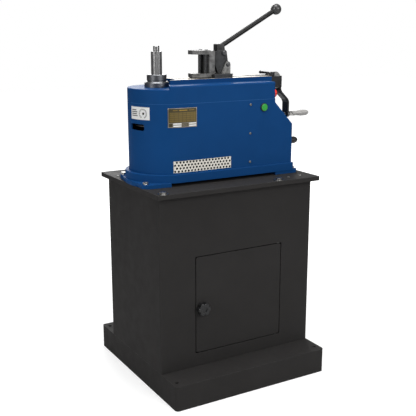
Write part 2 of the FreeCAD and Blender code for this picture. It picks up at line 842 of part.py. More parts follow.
def upper_casting():
    body = new_body("upper_casting")
    box, disc = rounded_outline("0")
    pad(body, "Z", "split_height", "head_top", box)
    dress(body, "Fillet", "casing_corner + 3",
          lambda edge, middle: along(edge, Vector(0, 0, 1)) and middle.x > 0)
    pad(body, "Z", "split_height", "head_top", disc)
    top = size("head_top")
    dress(body, "Fillet", "head_edge", lambda edge, middle: near(middle.z, top) and edge.BoundBox.ZLength < 0.1)
    pad(body, "Z", "head_top - head_plate / 2", "bed_top - strip_thickness",
        rectangle("recess_inner_x", "bed_right_x", "-bed_half_width", "bed_half_width"))
    pad(body, "Z", "nose_bottom", "bed_top - strip_thickness",
        rectangle("head_right_x - head_wall / 2", "bed_right_x", "-bed_half_width", "bed_half_width"))
    dress(body, "Fillet", "6",
          lambda edge, middle: middle.x > size("head_right_x") + 5 and near(middle.z, size("nose_bottom")))
    box, disc = rounded_outline("-head_wall", "head_right_x - head_wall")
    pocket(body, "Z", "split_height", "head_top - head_plate", box)
    pocket(body, "Z", "split_height", "head_top - head_plate", disc)
    pad(body, "Z", "boss_bottom", "head_top - head_plate / 2", ("shaft_x", "0", "boss_radius"))
    pad(body, "Z", "boss_bottom", "head_top - head_plate / 2", ("pinion_x", "0", "pinion_boss_radius"))
    pocket(body, "Z", "recess_floor", "bed_top + 1",
           [("-310", "-140"), ("recess_corner_x - 2", "-140"), ("recess_inner_x", "-bed_half_width"),
            ("recess_inner_x", "bed_half_width"), ("recess_rear_x", "140"), ("-310", "140")])
    pocket(body, "Z", "recess_floor", "bed_top + 1", ("shaft_x", "0", "notch_radius"))
    floor, centre = size("recess_floor"), Vector(size("body_left_x"), 0, size("recess_floor"))
    dress(body, "Fillet", "3",
          lambda edge, middle: near(middle.z, floor) and edge.BoundBox.ZLength < 0.1
          and all(near(corner.Point.distanceToPoint(centre), size("body_depth") / 2) for corner in edge.Vertexes))
    pocket(body, "Z", "head_top - head_plate", "bed_top + 1",
           rectangle("bed_slot_left_x", "bed_right_x + 1", "-bed_slot_half_width", "bed_slot_half_width"))
    pocket(body, "Z", "boss_bottom - 1", "recess_floor + 1", ("shaft_x", "0", "bush_radius + press_gap"))
    pocket(body, "Z", "boss_bottom - 1", "pinion_shaft_top + 2",
           ("pinion_x", "0", "pinion_journal_radius + fit_gap"))
    pocket(body, "X", "head_right_x - head_wall - 1", "head_right_x + 1",
           ("estop_y", "estop_z", "button_barrel_radius + press_gap"))
    return node(body, "upper_casting")


def bed_wear_strips():
    def strip(side_name, side):
        near_y = "%d * %s" % (side, "bed_half_width" if side < 0 else "bed_slot_half_width")
        far_y = "%d * %s" % (side, "bed_slot_half_width" if side < 0 else "bed_half_width")
        bar = block(side_name + "_strip_bar", ("recess_inner_x", "bed_right_x"), (near_y, far_y),
                    ("bed_top - strip_thickness", "bed_top"))
        notch = cylinder(side_name + "_strip_notch", "Z", ("shaft_x", "0", "bed_top - 10"), "notch_radius", "20")
        return cut(side_name + "_wear_strip", bar, notch)
    return group("bed_wear_strips", both_sides(strip))


def head_shell_piece(name, outer, inner, x, z):
    """A stretch of a thin skin that follows the front of the head and its rounded end."""
    def solid(label, radius):
        disc = cylinder(label + "_disc", "Z", ("body_left_x", "0", z[0]), radius, "(%s) - (%s)" % (z[1], z[0]))
        flat = block(label + "_flat", ("body_left_x", "body_right_x"), ("-(%s)" % radius, "0"), z)
        return fuse(label, [disc, flat])
    skin = cut(name + "_skin", solid(name + "_outside", outer), solid(name + "_inside", inner))
    window = block(name + "_window", x, ("-body_depth", "-80"), z)
    return common(name, skin, window)


def vent_grille():
    half = "body_depth / 2"
    inside = half + " - casing_wall - vent_sheet"
    field = head_shell_piece("vent_field", half + " - 0.7", inside,
                             ("vent_left + vent_gap", "vent_right - vent_gap"),
                             ("vent_bottom + vent_gap", "vent_top - vent_gap"))
    backing = head_shell_piece("vent_backing", half + " - casing_wall", inside,
                               ("vent_left - vent_rim", "vent_right + vent_rim"),
                               ("vent_bottom - 3", "vent_top + vent_rim"))
    plate = fuse("vent_plate", [field, backing])
    columns, rows = 18, 4
    punches = []
    for row in range(rows):
        for column in range(columns - row % 2):
            x = "vent_left + 5.5 + (%d + %.1f) * vent_pitch_x" % (column, 0.5 * (row % 2))
            z = "vent_bottom + 5 + %d * vent_pitch_z" % row
            punches.append(cylinder("vent_punch", "Y", (x, "-body_depth / 2 - 2", z), "vent_hole_radius", "50"))
    punch_set = doc.addObject("Part::Compound", "vent_punches")
    punch_set.Links = punches
    return node(cut("vent_grille", plate, punch_set), "vent_grille")


def data_plate():
    half = "body_depth / 2"
    skin = head_shell_piece("data_plate", half + " + plate_thickness", half, ("plate_left", "plate_right"),
                            ("plate_bottom", "plate_top"))
    return node(skin, "data_plate")


def side_label():
    half = "body_depth / 2"
    start = size("label_start_angle")
    outer = wedge("label_outside", half + " + label_thickness", "label_bottom", "label_top", start, "label_sweep")
    inner = cylinder("label_inside", "Z", ("body_left_x", "0", "label_bottom - 1"), half, "label_top")
    return node(cut("side_label", outer, inner), "side_label")


def panel_screws():
    screws = []
    face = "-body_depth / 2"
    for height in PANEL_SCREW_HEIGHTS:
        screws.append(turned("panel_screw", "Y", ("panel_screw_x", face + " - 3", height),
                             [("0", "0"), ("panel_screw_head - 1.5", "0"), ("panel_screw_head", "1.5"),
                              ("panel_screw_head", "3"), ("panel_screw_radius", "3"),
                              ("panel_screw_radius", "casing_wall + 8"), ("0", "casing_wall + 8")]))
    return group("panel_screws", screws)


# Bending shaft and drive

HEX_TURN = -16.4


def main_shaft():
    body = turned("main_shaft", "Z", ("shaft_x", "0", "0"),
                  [("0", "shaft_bottom"), ("shaft_foot_radius", "shaft_bottom"),
                   ("shaft_foot_radius", "shaft_shoulder"), ("shaft_radius", "shaft_shoulder"),
                   ("shaft_radius", "hex_bottom"), ("stub_radius", "hex_bottom"),
                   ("stub_radius", "stub_top - 1.5"), ("stub_radius - 1.5", "stub_top"), ("0", "stub_top")])
    pad(body, "Z", "hex_bottom", "hex_top", hexagon("0", "0", "hex_flats", HEX_TURN))
    pocket(body, "Z", "hex_bottom", "hex_top", ("0", "0", "hex_corner_radius"), ("0", "0", "hex_flats"))
    return node(body, "main_shaft")


def shaft_collar():
    bore = "shaft_radius + press_gap"
    body = turned("shaft_collar", "Z", ("shaft_x", "0", "0"),
                  [(bore, "collar_bottom"), ("collar_radius", "collar_bottom"),
                   ("collar_radius", "collar_shoulder"), ("ring_radius + 3", "ring_bottom - 2"),
                   ("ring_radius - 1", "ring_bottom - 1"), ("ring_radius - 1", "ring_bottom + 1"),
                   ("ring_radius", "ring_bottom + 2"), ("ring_radius", "hex_bottom - 1.2"),
                   ("ring_radius - 1.2", "hex_bottom"), (bore, "hex_bottom")])
    return node(body, "shaft_collar")


def toothed_wheel(name, centre, teeth, outer, root, bore, bottom, top, hub=None):
    """A spur wheel with straight-flanked teeth, cut a little short of its pitch circle."""
    step = math.tau / teeth
    points = []
    for i in range(teeth):
        for radius, share in ((root, -0.31), (outer, -0.17), (outer, 0.17), (root, 0.31)):
            angle = (i + share) * step
            points.append(Vector(radius * math.cos(angle), radius * math.sin(angle), bottom))
    points.append(points[0])
    solid = Part.Face(Part.makePolygon(points)).extrude(Vector(0, 0, top - bottom))
    if hub:
        hub_radius, hub_bottom, hub_top = hub
        solid = solid.fuse(Part.makeCylinder(hub_radius, hub_top - hub_bottom, Vector(0, 0, hub_bottom)))
        bottom, top = min(bottom, hub_bottom), max(top, hub_top)
    solid = solid.cut(Part.makeCylinder(bore, top - bottom + 2, Vector(0, 0, bottom - 1)))
    wheel = doc.addObject("Part::Feature", name)
    wheel.Shape = solid.removeSplitter()
    wheel.Placement = Placement(Vector(*centre), Rotation())
    return wheel


def main_gear():
    pitch_radius = 0.8 * (size("pinion_x") - size("shaft_x"))
    wheel = toothed_wheel("main_gear", (size("shaft_x"), 0, 0), 64, pitch_radius - 0.2,
                          pitch_radius - size("gear_module"), size("shaft_radius") + size("press_gap"),
                          size("gear_bottom"), size("gear_top"),
                          (size("gear_hub_radius"), size("gear_hub_bottom"), size("gear_hub_top")))
    return node(wheel, "main_gear")


def pinion_shaft():
    pitch_radius = 0.2 * (size("pinion_x") - size("shaft_x"))
    journal, radius = size("pinion_journal_radius"), size("pinion_shaft_radius")
    wheel = toothed_wheel("pinion_teeth", (size("pinion_x"), 0, 0), 16, pitch_radius - 0.2,
                          pitch_radius - size("gear_module"), radius - 2, size("pinion_bottom"),
                          size("pinion_top"))
    spindle = turned("pinion_spindle", "Z", ("pinion_x", "0", "0"),
                     [("0", "shaft_bottom"), ("pinion_journal_radius", "shaft_bottom"),
                      ("pinion_journal_radius", "bearing_plate_top + 1"),
                      ("pinion_shaft_radius", "bearing_plate_top + 1"), ("pinion_shaft_radius", "pinion_top"),
                      ("pinion_journal_radius", "pinion_top"), ("pinion_journal_radius", "pinion_shaft_top"),
                      ("0", "pinion_shaft_top")])
    return node(fuse("pinion_shaft", [spindle, wheel]), "pinion_shaft")


def worm_wheel():
    wheel = toothed_wheel("worm_wheel", (size("pinion_x"), 0, 0), 30, size("wheel_radius"),
                          size("wheel_radius") - 4, size("pinion_shaft_radius") + size("press_gap"),
                          size("wheel_bottom"), size("wheel_top"),
                          (22, size("wheel_bottom") - 6, size("wheel_top") + 10))
    return node(wheel, "worm_wheel")


def worm_shaft():
    left, right = "worm_left_x - worm_shaft_left_x", "worm_shaft_right_x - worm_shaft_left_x"
    profile = [("0", "0"), ("worm_shaft_radius", "0"), ("worm_shaft_radius", left)]
    threads = 8
    for i in range(threads):
        start = "%s + %d * worm_pitch" % (left, i)
        profile += [("worm_root_radius", start), ("worm_radius", start + " + 2"), ("worm_radius", start + " + 5"),
                    ("worm_root_radius", start + " + 7")]
    profile += [("worm_shaft_radius", left + " + worm_length"), ("worm_shaft_radius", right), ("0", right)]
    body = turned("worm_shaft", "X", ("worm_shaft_left_x", "worm_y", "worm_z"), profile)
    return node(body, "worm_shaft")


def worm_bearings():
    blocks = []
    for x in ("worm_shaft_left_x + 2", "worm_left_x + worm_length + 6"):
        body = new_body("worm_bearing")
        pad(body, "X", x, x + " + worm_block_thickness",
            rectangle("worm_y - worm_block_half_width", "worm_y + worm_block_half_width",
                      "bearing_plate_top", "worm_z + 15"))
        pocket(body, "X", x + " - 1", x + " + worm_block_thickness + 1",
               ("worm_y", "worm_z", "worm_shaft_radius + fit_gap"))
        blocks.append(body)
    return group("worm_bearings", blocks)


def bearing_plate():
    body = new_body("bearing_plate")
    pad(body, "Z", "bearing_plate_bottom", "bearing_plate_top",
        rectangle("body_left_x", "bearing_plate_right_x", "-bearing_plate_radius", "bearing_plate_radius"))
    pad(body, "Z", "bearing_plate_bottom", "bearing_plate_top", ("body_left_x", "0", "bearing_plate_radius"))
    pocket(body, "Z", "bearing_plate_bottom - 1", "bearing_plate_top + 1",
           ("shaft_x", "0", "shaft_foot_radius + fit_gap"), ("pinion_x", "0", "pinion_journal_radius + fit_gap"))
    return node(body, "bearing_plate")


def stay_posts():
    posts = []
    for x, y in (("post_left_x", "post_left_y"), ("post_right_x", "post_right_y")):
        for side in (-1, 1):
            posts.append(rod("stay_post", "Z", (x, "%d * %s" % (side, y), "bearing_plate_top"), "post_radius",
                             "head_top - head_plate - bearing_plate_top"))
    return group("stay_posts", posts)


def shaft_bush():
    return node(tube("shaft_bush", "Z", ("shaft_x", "0", "bush_bottom"), "bush_radius",
                     "shaft_radius + fit_gap", "bush_top - bush_bottom"), "shaft_bush")


def angle_disc():
    bore = "shaft_radius + press_gap"
    body = turned("angle_disc", "Z", ("shaft_x", "0", "disc_bottom"),
                  [(bore, "0"), ("disc_radius", "0"), ("disc_radius", "disc_thickness"),
                   ("disc_hub_radius", "disc_thickness"), ("disc_hub_radius", "disc_hub_height"),
                   (bore, "disc_hub_height")])
    return node(body, "angle_disc")


def electric_motor():
    length = "motor_length"
    bore = "worm_shaft_radius + 0.4"
    depth = "worm_shaft_right_x - motor_left_x + 4"
    body = turned("electric_motor", "X", ("motor_left_x", "motor_y", "worm_z"),
                  [(bore, "0"), ("motor_bell_radius - 8", "0"), ("motor_bell_radius", "8"),
                   ("motor_bell_radius", "motor_bell_length"), ("motor_radius", "motor_bell_length"),
                   ("motor_radius", length + " - motor_bell_length"),
                   ("motor_bell_radius", length + " - motor_bell_length"), ("motor_bell_radius", length + " - 8"),
                   ("motor_bell_radius - 8", length), ("0", length), ("0", depth), (bore, depth)])
    return node(body, "electric_motor")


def motor_cradle():
    floor = "frame_bottom + frame_floor"
    saddle = block("cradle_block", ("cradle_left_x", "cradle_left_x + cradle_length"),
                   ("motor_y - cradle_half_width", "motor_y + cradle_half_width"), (floor, "worm_z - 44"))
    seat = cylinder("cradle_seat", "X", ("cradle_left_x - 1", "motor_y", "worm_z"),
                    "motor_radius + press_gap", "cradle_length + 2")
    return node(cut("motor_cradle", saddle, seat), "motor_cradle")


def control_box():
    floor = "frame_bottom + frame_floor"
    body = new_body("control_box")
    pad(body, "Z", floor, floor + " + box_height",
        rectangle("box_left_x", "box_left_x + box_length", "box_front_y", "box_front_y + box_depth"))
    dress(body, "Fillet", "4", lambda edge, middle: along(edge, Vector(0, 0, 1)))
    return node(body, "control_box")


# Counter-die slide

def carriage_base():
    body = new_body("carriage_base")
    corner_x, corner_y = "carriage_right_x - carriage_corner", "bed_half_width - carriage_corner"
    pad(body, "Z", "carriage_bottom", "carriage_top",
        [("carriage_left_x", "-bed_half_width"), (corner_x, "-bed_half_width"),
         ("carriage_right_x", "-(%s)" % corner_y), ("carriage_right_x", corner_y),
         (corner_x, "bed_half_width"), ("carriage_left_x", "bed_half_width"),
         ("carriage_left_x", "carriage_ear_inner"), ("carriage_notch_x", "carriage_ear_inner"),
         ("carriage_notch_x", "-carriage_ear_inner"), ("carriage_left_x", "-carriage_ear_inner")])
    dress(body, "Chamfer", "1.5", lambda edge, middle: along(edge, Vector(0, 0, 1)) and middle.x < 0)
    pad(body, "Z", "tongue_bottom", "carriage_bottom",
        rectangle("tongue_left_x", "tongue_right_x", "-tongue_half_width", "tongue_half_width"))
    pad(body, "Z", "tongue_bottom", "tongue_bottom + tee_thickness",
        rectangle("tongue_left_x", "tongue_right_x", "-tee_half_width", "tee_half_width"))
    pocket(body, "X", "tongue_left_x - 1", "feed_nut_left_x", ("0", "screw_z", "screw_radius + 1"))
    pocket(body, "X", "feed_nut_left_x", "tongue_right_x + 1", ("0", "screw_z", "feed_nut_radius + press_gap"))
    return node(body, "carriage_base")


def cheek_plates():
    def cheek(side_name, side):
        body = new_body(side_name + "_cheek")
        inner = "%d * cheek_inner" % side if side > 0 else "-cheek_inner - cheek_thickness"
        outer = "cheek_inner + cheek_thickness" if side > 0 else "-cheek_inner"
        pad(body, "Y", inner, outer,
            [("25", "carriage_top"), ("70", "carriage_top"), ("71", "1098"), ("65", "1124"),
             ("pivot_x + 11", "pivot_z + 2"), ("pivot_x + 6", "pivot_z + 9"), ("pivot_x - 8", "pivot_z + 9"),
             ("7", "pivot_z + 4"), ("7", "1126")])
        face = "cheek_inner + cheek_thickness" if side > 0 else "-cheek_inner - cheek_thickness - 3"
        pad(body, "Y", face, face + " + 3", ("pivot_x", "pivot_z", "pivot_boss_radius"))
        pocket(body, "Y", "-cheek_inner - 20", "cheek_inner + 20",
               ("pivot_x", "pivot_z", "pivot_radius + press_gap"),
               ("lug_bolt_x", "lug_bolt_z", "lug_bolt_radius + press_gap"))
        return body
    return group("cheek_plates", both_sides(cheek))


def clevis_lugs():
    def lug(side_name, side):
        body = new_body(side_name + "_lug")
        low = "cheek_inner + cheek_thickness"
        start = low if side > 0 else "-(%s) - lug_thickness" % low
        pad(body, "Y", start, start + " + lug_thickness",
            [("36", "carriage_top"), ("71", "carriage_top"), ("71", "1112"), ("lug_bolt_x + 7", "1119.5"),
             ("lug_bolt_x + 1", "1122.5"), ("lug_bolt_x - 5", "1121"), ("lug_bolt_x - 10", "1114")])
        pocket(body, "Y", start + " - 1", start + " + lug_thickness + 1",
               ("lug_bolt_x", "lug_bolt_z", "lug_bolt_radius + press_gap"))
        return body
    return group("clevis_lugs", both_sides(lug))


def lug_bolts():
    def bolt(side_name, side):
        reach = "cheek_thickness + lug_thickness"
        return turned(side_name + "_lug_bolt", "Y" if side > 0 else "-Y",
                      ("lug_bolt_x", "%d * cheek_inner" % side, "lug_bolt_z"),
                      [("0", "0"), ("lug_bolt_radius", "0"), ("lug_bolt_radius", reach), ("7.5", reach),
                       ("7.5", reach + " + 3"), ("6", reach + " + 4.5"), ("0", reach + " + 4.5")])
    return group("lug_bolts", both_sides(bolt))


def fork_body():
    body = new_body("fork_body")
    pad(body, "Z", "fork_bottom", "fork_top - 2",
        rectangle("fork_web_left_x", "fork_web_right_x", "-fork_half_width", "fork_half_width"))
    jaw = [("fork_web_left_x + 6", "-fork_half_width"), ("fork_web_left_x + 6", "fork_half_width"),
           ("fork_corner_x", "fork_half_width"), ("fork_tip_x + 3", "fork_tip_half_width + 1"),
           ("fork_tip_x", "fork_tip_half_width - 2"), ("fork_tip_x", "2 - fork_tip_half_width"),
           ("fork_tip_x + 3", "-fork_tip_half_width - 1"), ("fork_corner_x", "-fork_half_width")]
    pad(body, "Z", "fork_bottom", "lower_jaw_top", jaw)
    pad(body, "Z", "upper_jaw_bottom", "fork_top", jaw)
    pad(body, "Z", "carriage_top + 0.3", "fork_foot_top",
        rectangle("fork_web_right_x - 2", "fork_tail_right_x", "-fork_foot_half_width", "fork_foot_half_width"))
    pad(body, "Z", "carriage_top + 0.3", "fork_tail_top",
        rectangle("fork_web_right_x - 2", "fork_tail_right_x", "-fork_tail_half_width", "fork_tail_half_width"))
    pocket(body, "Z", "lower_jaw_top", "upper_jaw_bottom",
           *[("roller_x", "%d * roller_y" % side, "roller_groove_radius") for side in (-1, 1)])
    pocket(body, "Z", "fork_bottom + 3", "fork_top + 1",
           *[("roller_x", "%d * roller_y" % side, "roller_pin_radius + press_gap") for side in (-1, 1)])
    pocket(body, "Z", "drive_slot_bottom", "fork_tail_top + 1",
           rectangle("drive_pin_x - drive_pin_radius - drive_slot_gap",
                     "drive_pin_x + drive_pin_radius + drive_slot_gap", "-fork_tail_half_width - 1",
                     "fork_tail_half_width + 1"))
    return node(body, "fork_body")


def fork_roller(name, side):
    return node(tube(name, "Z", ("roller_x", "%d * roller_y" % side, "lower_jaw_top + 0.4"), "roller_radius",
                     "roller_pin_radius + fit_gap", "upper_jaw_bottom - lower_jaw_top - 0.8"), name)


def roller_pins():
    def pin(side_name, side):
        length = "fork_top - fork_bottom - 3"
        return turned(side_name + "_roller_pin", "Z",
                      ("roller_x", "%d * roller_y" % side, "fork_bottom + 3"),
                      [("0", "0"), ("roller_pin_radius", "0"), ("roller_pin_radius", length), ("6", length),
                       ("6", length + " + 1.5"), ("5", length + " + 2.5"), ("0", length + " + 2.5")])
    return group("roller_pins", both_sides(pin))


def lever_socket():
    body = new_body("lever_socket_casting")
    half = "hub_half_width"
    pad(body, "Y", "-" + half, half, ("pivot_x", "pivot_z", "hub_radius"))
    pad(body, "Y", "-" + half, half,
        [("socket_left_x + 2", "socket_bottom"), ("pivot_x - 9", "socket_bottom - 8"),
         ("pivot_x + 9", "socket_bottom - 6"), ("socket_right_x + 5", "socket_bottom + 4"),
         ("socket_right_x + 3", "socket_top - 8"), ("socket_right_x", "socket_top"),
         ("socket_left_x + 2", "socket_top"), ("socket_left_x", "socket_top - 2"),
         ("socket_left_x", "socket_bottom + 2")])
    for low, high in (("-hub_half_width", "-lever_arm_inner"), ("lever_arm_inner", "hub_half_width")):
        pad(body, "Y", low, high,
            [("pivot_x - 11", "pivot_z"), ("drive_pin_x - 8", "drive_pin_z - 1"),
             ("drive_pin_x - 5", "drive_pin_z - 7"), ("drive_pin_x + 5", "drive_pin_z - 7"),
             ("drive_pin_x + 8", "drive_pin_z + 1"), ("pivot_x + 12", "pivot_z")])
    pocket(body, "Y", "-%s - 1" % half, half + " + 1", ("pivot_x", "pivot_z", "pivot_radius + fit_gap"),
           ("drive_pin_x", "drive_pin_z", "drive_pin_radius + press_gap"))
    bore = lever_bar("socket_bore", "rod_radius + press_gap", "-rod_buried", "rod_buried + 20")
    return node(cut("lever_socket", body, bore), "lever_socket")


def lever_bar(name, radius, start, length):
    """A cylinder on the axis of the lever, from a distance past its base point."""
    bar = doc.addObject("Part::Cylinder", name)
    rise = size("rod_angle")
    bar.Placement = Placement(Vector(0, 0, 0), Rotation(Vector(0, 1, 0), 90 - rise))
    bar.setExpression("Radius", bind(radius))
    bar.setExpression("Height", bind(length))
    place(bar, ("rod_base_x + (%s) * cos(rod_angle * 1 deg)" % start, "0",
                "rod_base_z + (%s) * sin(rod_angle * 1 deg)" % start))
    return bar


def lever_rod():
    return node(lever_bar("lever_rod", "rod_radius", "-rod_buried", "rod_buried + rod_reach - 4"), "lever_rod")


def lever_ball():
    ball = doc.addObject("Part::Sphere", "ball_round")
    ball.setExpression("Radius", bind("ball_radius"))
    place(ball, ("rod_base_x + rod_reach * cos(rod_angle * 1 deg)", "0",
                 "rod_base_z + rod_reach * sin(rod_angle * 1 deg)"))
    bore = lever_bar("ball_bore", "rod_radius + press_gap", "rod_reach - 30", "26")
    return node(cut("lever_ball", ball, bore), "lever_ball")


def pivot_pin():
    half = "cheek_inner + cheek_thickness + 3"
    body = turned("pivot_pin", "Y", ("pivot_x", "-(%s)" % half, "pivot_z"),
                  [("0", "-3"), ("6.5", "-3"), ("7.5", "-2"), ("7.5", "0"), ("pivot_radius", "0"),
                   ("pivot_radius", "2 * (%s)" % half), ("7.5", "2 * (%s)" % half),
                   ("7.5", "2 * (%s) + 3" % half), ("0", "2 * (%s) + 3" % half)])
    return node(body, "pivot_pin")


def drive_pin():
    return node(rod("drive_pin", "Y", ("drive_pin_x", "-hub_half_width", "drive_pin_z"), "drive_pin_radius",
                    "2 * hub_half_width"), "drive_pin")


# Feed screw and crank

def lead_screw():
    left = "screw_left_x"
    profile = [("0", "0")]
    rings = int((size("screw_thread_right_x") - size("screw_left_x")) / size("screw_pitch") / 2)
    for i in range(rings):
        start = "%d * 2 * screw_pitch" % i
        profile += [("screw_root_radius", start), ("screw_root_radius", start + " + 0.42 * screw_pitch"),
                    ("screw_radius", start + " + 0.75 * screw_pitch"), ("screw_radius", start + " + 1.6 * screw_pitch")]
    end = "screw_thread_right_x - (%s)" % left
    tip = "screw_end_x - (%s)" % left
    stud = "screw_stud_x - (%s)" % left
    profile += [("screw_root_radius", end), ("screw_journal_radius", end), ("screw_journal_radius", tip),
                ("screw_stud_radius", tip), ("screw_stud_radius", stud), ("0", stud)]
    return node(turned("lead_screw", "X", (left, "0", "screw_z"), profile), "lead_screw")


def screw_housing():
    body = new_body("screw_housing")
    half = "housing_half_width"
    pad(body, "X", "bed_right_x", "housing_right_x",
        [("-" + half, "housing_bottom + 8"), ("8 - " + half, "housing_bottom"),
         (half + " - 8", "housing_bottom"), (half, "housing_bottom + 8"), (half, "housing_top"),
         ("-" + half, "housing_top")])
    for low, high in (("-" + half, "-yoke_inner"), ("yoke_inner", half)):
        pad(body, "Y", low, high,
            [("housing_right_x - 1", "housing_bottom + 8"), ("yoke_right_x", "housing_bottom + 8"),
             ("yoke_right_x", "housing_top"), ("housing_right_x - 1", "housing_top")])
    pocket(body, "X", "bed_right_x - 1", "housing_right_x + 1",
           ("0", "screw_z", "screw_journal_radius + fit_gap"))
    pocket(body, "Z", "clamp_stud_bottom - 2", "housing_top + 1",
           ("clamp_x", "clamp_y", "clamp_stud_radius + fit_gap"))
    return node(body, "screw_housing")


def feed_nut():
    return node(tube("feed_nut", "X", ("feed_nut_left_x", "0", "screw_z"), "feed_nut_radius",
                     "screw_radius + fit_gap", "tongue_right_x - feed_nut_left_x"), "feed_nut")


def dial_collar():
    bore = "screw_journal_radius + press_gap"
    body = turned("dial_collar", "X", ("0", "0", "screw_z"),
                  [(bore, "dial_left_x"), ("dial_neck_radius", "dial_left_x"), ("dial_neck_radius", "dial_step_x"),
                   ("dial_radius - 1", "dial_step_x"), ("dial_radius", "dial_step_x + 1"),
                   ("dial_radius", "hub_left_x - 1"), ("dial_radius - 1", "hub_left_x"), (bore, "hub_left_x")])
    return node(body, "dial_collar")


def crank_arm():
    body = new_body("crank_arm")
    top = "screw_z + crank_hub_radius"
    pad(body, "Y", "-crank_half_width", "crank_half_width",
        [("crank_upper_x", top), ("crank_upper_x", "crank_bend_top"), ("crank_upper_x + 5", "crank_bend_top - 10"),
         ("crank_lower_x - 5", "crank_bend_bottom + 8"), ("crank_lower_x", "crank_bend_bottom - 3"),
         ("crank_lower_x", "crank_low"), ("crank_lower_x + crank_thickness", "crank_low"),
         ("crank_lower_x + crank_thickness", "crank_bend_bottom"),
         ("crank_lower_x + crank_thickness - 5", "crank_bend_bottom + 11"),
         ("crank_upper_x + crank_thickness + 5", "crank_bend_top - 5"),
         ("crank_upper_x + crank_thickness", "crank_bend_top + 5"), ("crank_upper_x + crank_thickness", top)])
    dress(body, "Fillet", "3",
          lambda edge, middle: edge.BoundBox.YLength < 0.1 and edge.Length > 5)
    pad(body, "X", "hub_left_x", "hub_right_x", ("0", "screw_z", "crank_hub_radius"))
    pocket(body, "X", "hub_left_x - 1", "hub_right_x + 1", ("0", "screw_z", "screw_journal_radius + press_gap"))
    pocket(body, "X", "crank_lower_x - 1", "crank_lower_x + crank_thickness + 1",
           ("0", "grip_z", "spindle_radius + press_gap"))
    return node(body, "crank_arm")


def crank_nut():
    body = new_body("crank_nut")
    pad(body, "X", "hub_right_x", "screw_stud_x + 2", hexagon("0", "screw_z", "19"))
    pocket(body, "X", "hub_right_x - 1", "screw_stud_x + 0.5", ("0", "screw_z", "screw_stud_radius + press_gap"))
    return node(body, "crank_nut")


def grip_spindle():
    body = turned("grip_spindle", "X", ("0", "0", "grip_z"),
                  [("0", "crank_lower_x - 4"), ("8", "crank_lower_x - 4"), ("8", "crank_lower_x"),
                   ("spindle_radius", "crank_lower_x"), ("spindle_radius", "crank_lower_x + crank_thickness"),
                   ("spindle_neck_radius", "crank_lower_x + crank_thickness"),
                   ("spindle_neck_radius", "ferrule_left_x"), ("ferrule_radius", "ferrule_left_x"),
                   ("ferrule_radius", "grip_left_x - 0.3"), ("spindle_radius", "grip_left_x - 0.3"),
                   ("spindle_radius", "grip_right_x - 6"), ("0", "grip_right_x - 6")])
    return node(body, "grip_spindle")


def crank_grip():
    body = turned("crank_grip", "X", ("0", "0", "grip_z"),
                  [("grip_bore_radius", "grip_left_x"), ("grip_end_radius", "grip_left_x"),
                   ("grip_end_radius + 1.5", "grip_left_x + 6"), ("grip_end_radius + 1.5", "grip_left_x + 14"),
                   ("grip_end_radius + 0.5", "grip_left_x + 16"), ("grip_radius", "grip_left_x + 40"),
                   ("grip_radius", "grip_right_x - 24"), ("grip_radius - 1", "grip_right_x - 8"),
                   ("grip_radius - 5", "grip_right_x"), ("0", "grip_right_x"), ("0", "grip_right_x - 5"),
                   ("grip_bore_radius", "grip_right_x - 5")])
    return node(body, "crank_grip")


def clamp_lever():
    hub = turned("clamp_hub", "Z", ("clamp_x", "clamp_y", "0"),
                 [("0", "clamp_stud_bottom"), ("clamp_stud_radius", "clamp_stud_bottom"),
                  ("clamp_stud_radius", "housing_top + 0.3"), ("clamp_hub_radius", "housing_top + 0.3"),
                  ("clamp_hub_radius", "clamp_hub_top - 2"), ("clamp_hub_radius - 3", "clamp_hub_top"),
                  ("0", "clamp_hub_top")])
    arm = doc.addObject("Part::Cone", "clamp_arm")
    tilt = Rotation(Vector(1, 0, 0), -90 + size("clamp_arm_rise"))
    arm.Placement = Placement(Vector(0, 0, 0), tilt)
    arm.setExpression("Radius1", bind("clamp_arm_root_radius"))
    arm.setExpression("Radius2", bind("clamp_arm_tip_radius"))
    arm.setExpression("Height", bind("clamp_arm_length"))
    place(arm, ("clamp_x", "clamp_y + 6", "clamp_arm_z"))
    tip = doc.addObject("Part::Sphere", "clamp_tip")
    tip.setExpression("Radius", bind("clamp_arm_tip_radius + 0.6"))
    place(tip, ("clamp_x", "clamp_y + 6 + clamp_arm_length * cos(clamp_arm_rise * 1 deg)",
                "clamp_arm_z + clamp_arm_length * sin(clamp_arm_rise * 1 deg)"))
    return node(fuse("clamp_lever", [hub, arm, tip]), "clamp_lever")


# Controls

def start_bezel():
    depth = "button_barrel_length"
    body = turned("start_bezel", "Y", ("start_x", "-body_depth / 2", "start_z"),
                  [("button_cap_radius + 0.2", "-bezel_height"), ("bezel_radius - 1", "-bezel_height"),
                   ("bezel_radius", "1 - bezel_height"), ("bezel_radius", "0"), ("button_barrel_radius", "0"),
                   ("button_barrel_radius", depth), ("button_stem_radius + 0.1", depth),
                   ("button_stem_radius + 0.1", "-0.3"), ("button_cap_radius + 0.2", "-0.3")])
    return node(body, "start_bezel")


def start_button():
    body = turned("start_button", "Y", ("start_x", "-body_depth / 2", "start_z"),
                  [("0", "-6.5"), ("button_cap_radius - 2", "-6.5"), ("button_cap_radius", "-5.5"),
                   ("button_cap_radius", "-3.1"), ("button_stem_radius", "-3.1"), ("button_stem_radius", "18"),
                   ("0", "18")])
    return node(body, "start_button")


def estop_base():
    depth = "-button_barrel_length - 2"
    body = turned("estop_base", "X", ("head_right_x", "estop_y", "estop_z"),
                  [("button_stem_radius + 0.1", depth), ("button_barrel_radius", depth),
                   ("button_barrel_radius", "0"), ("estop_collar_radius", "0"),
                   ("estop_collar_radius", "estop_collar_height - 2"),
                   ("estop_collar_radius - 2", "estop_collar_height"),
                   ("10.4", "estop_collar_height"), ("10.4", "4"), ("button_stem_radius + 0.1", "4")])
    return node(body, "estop_base")


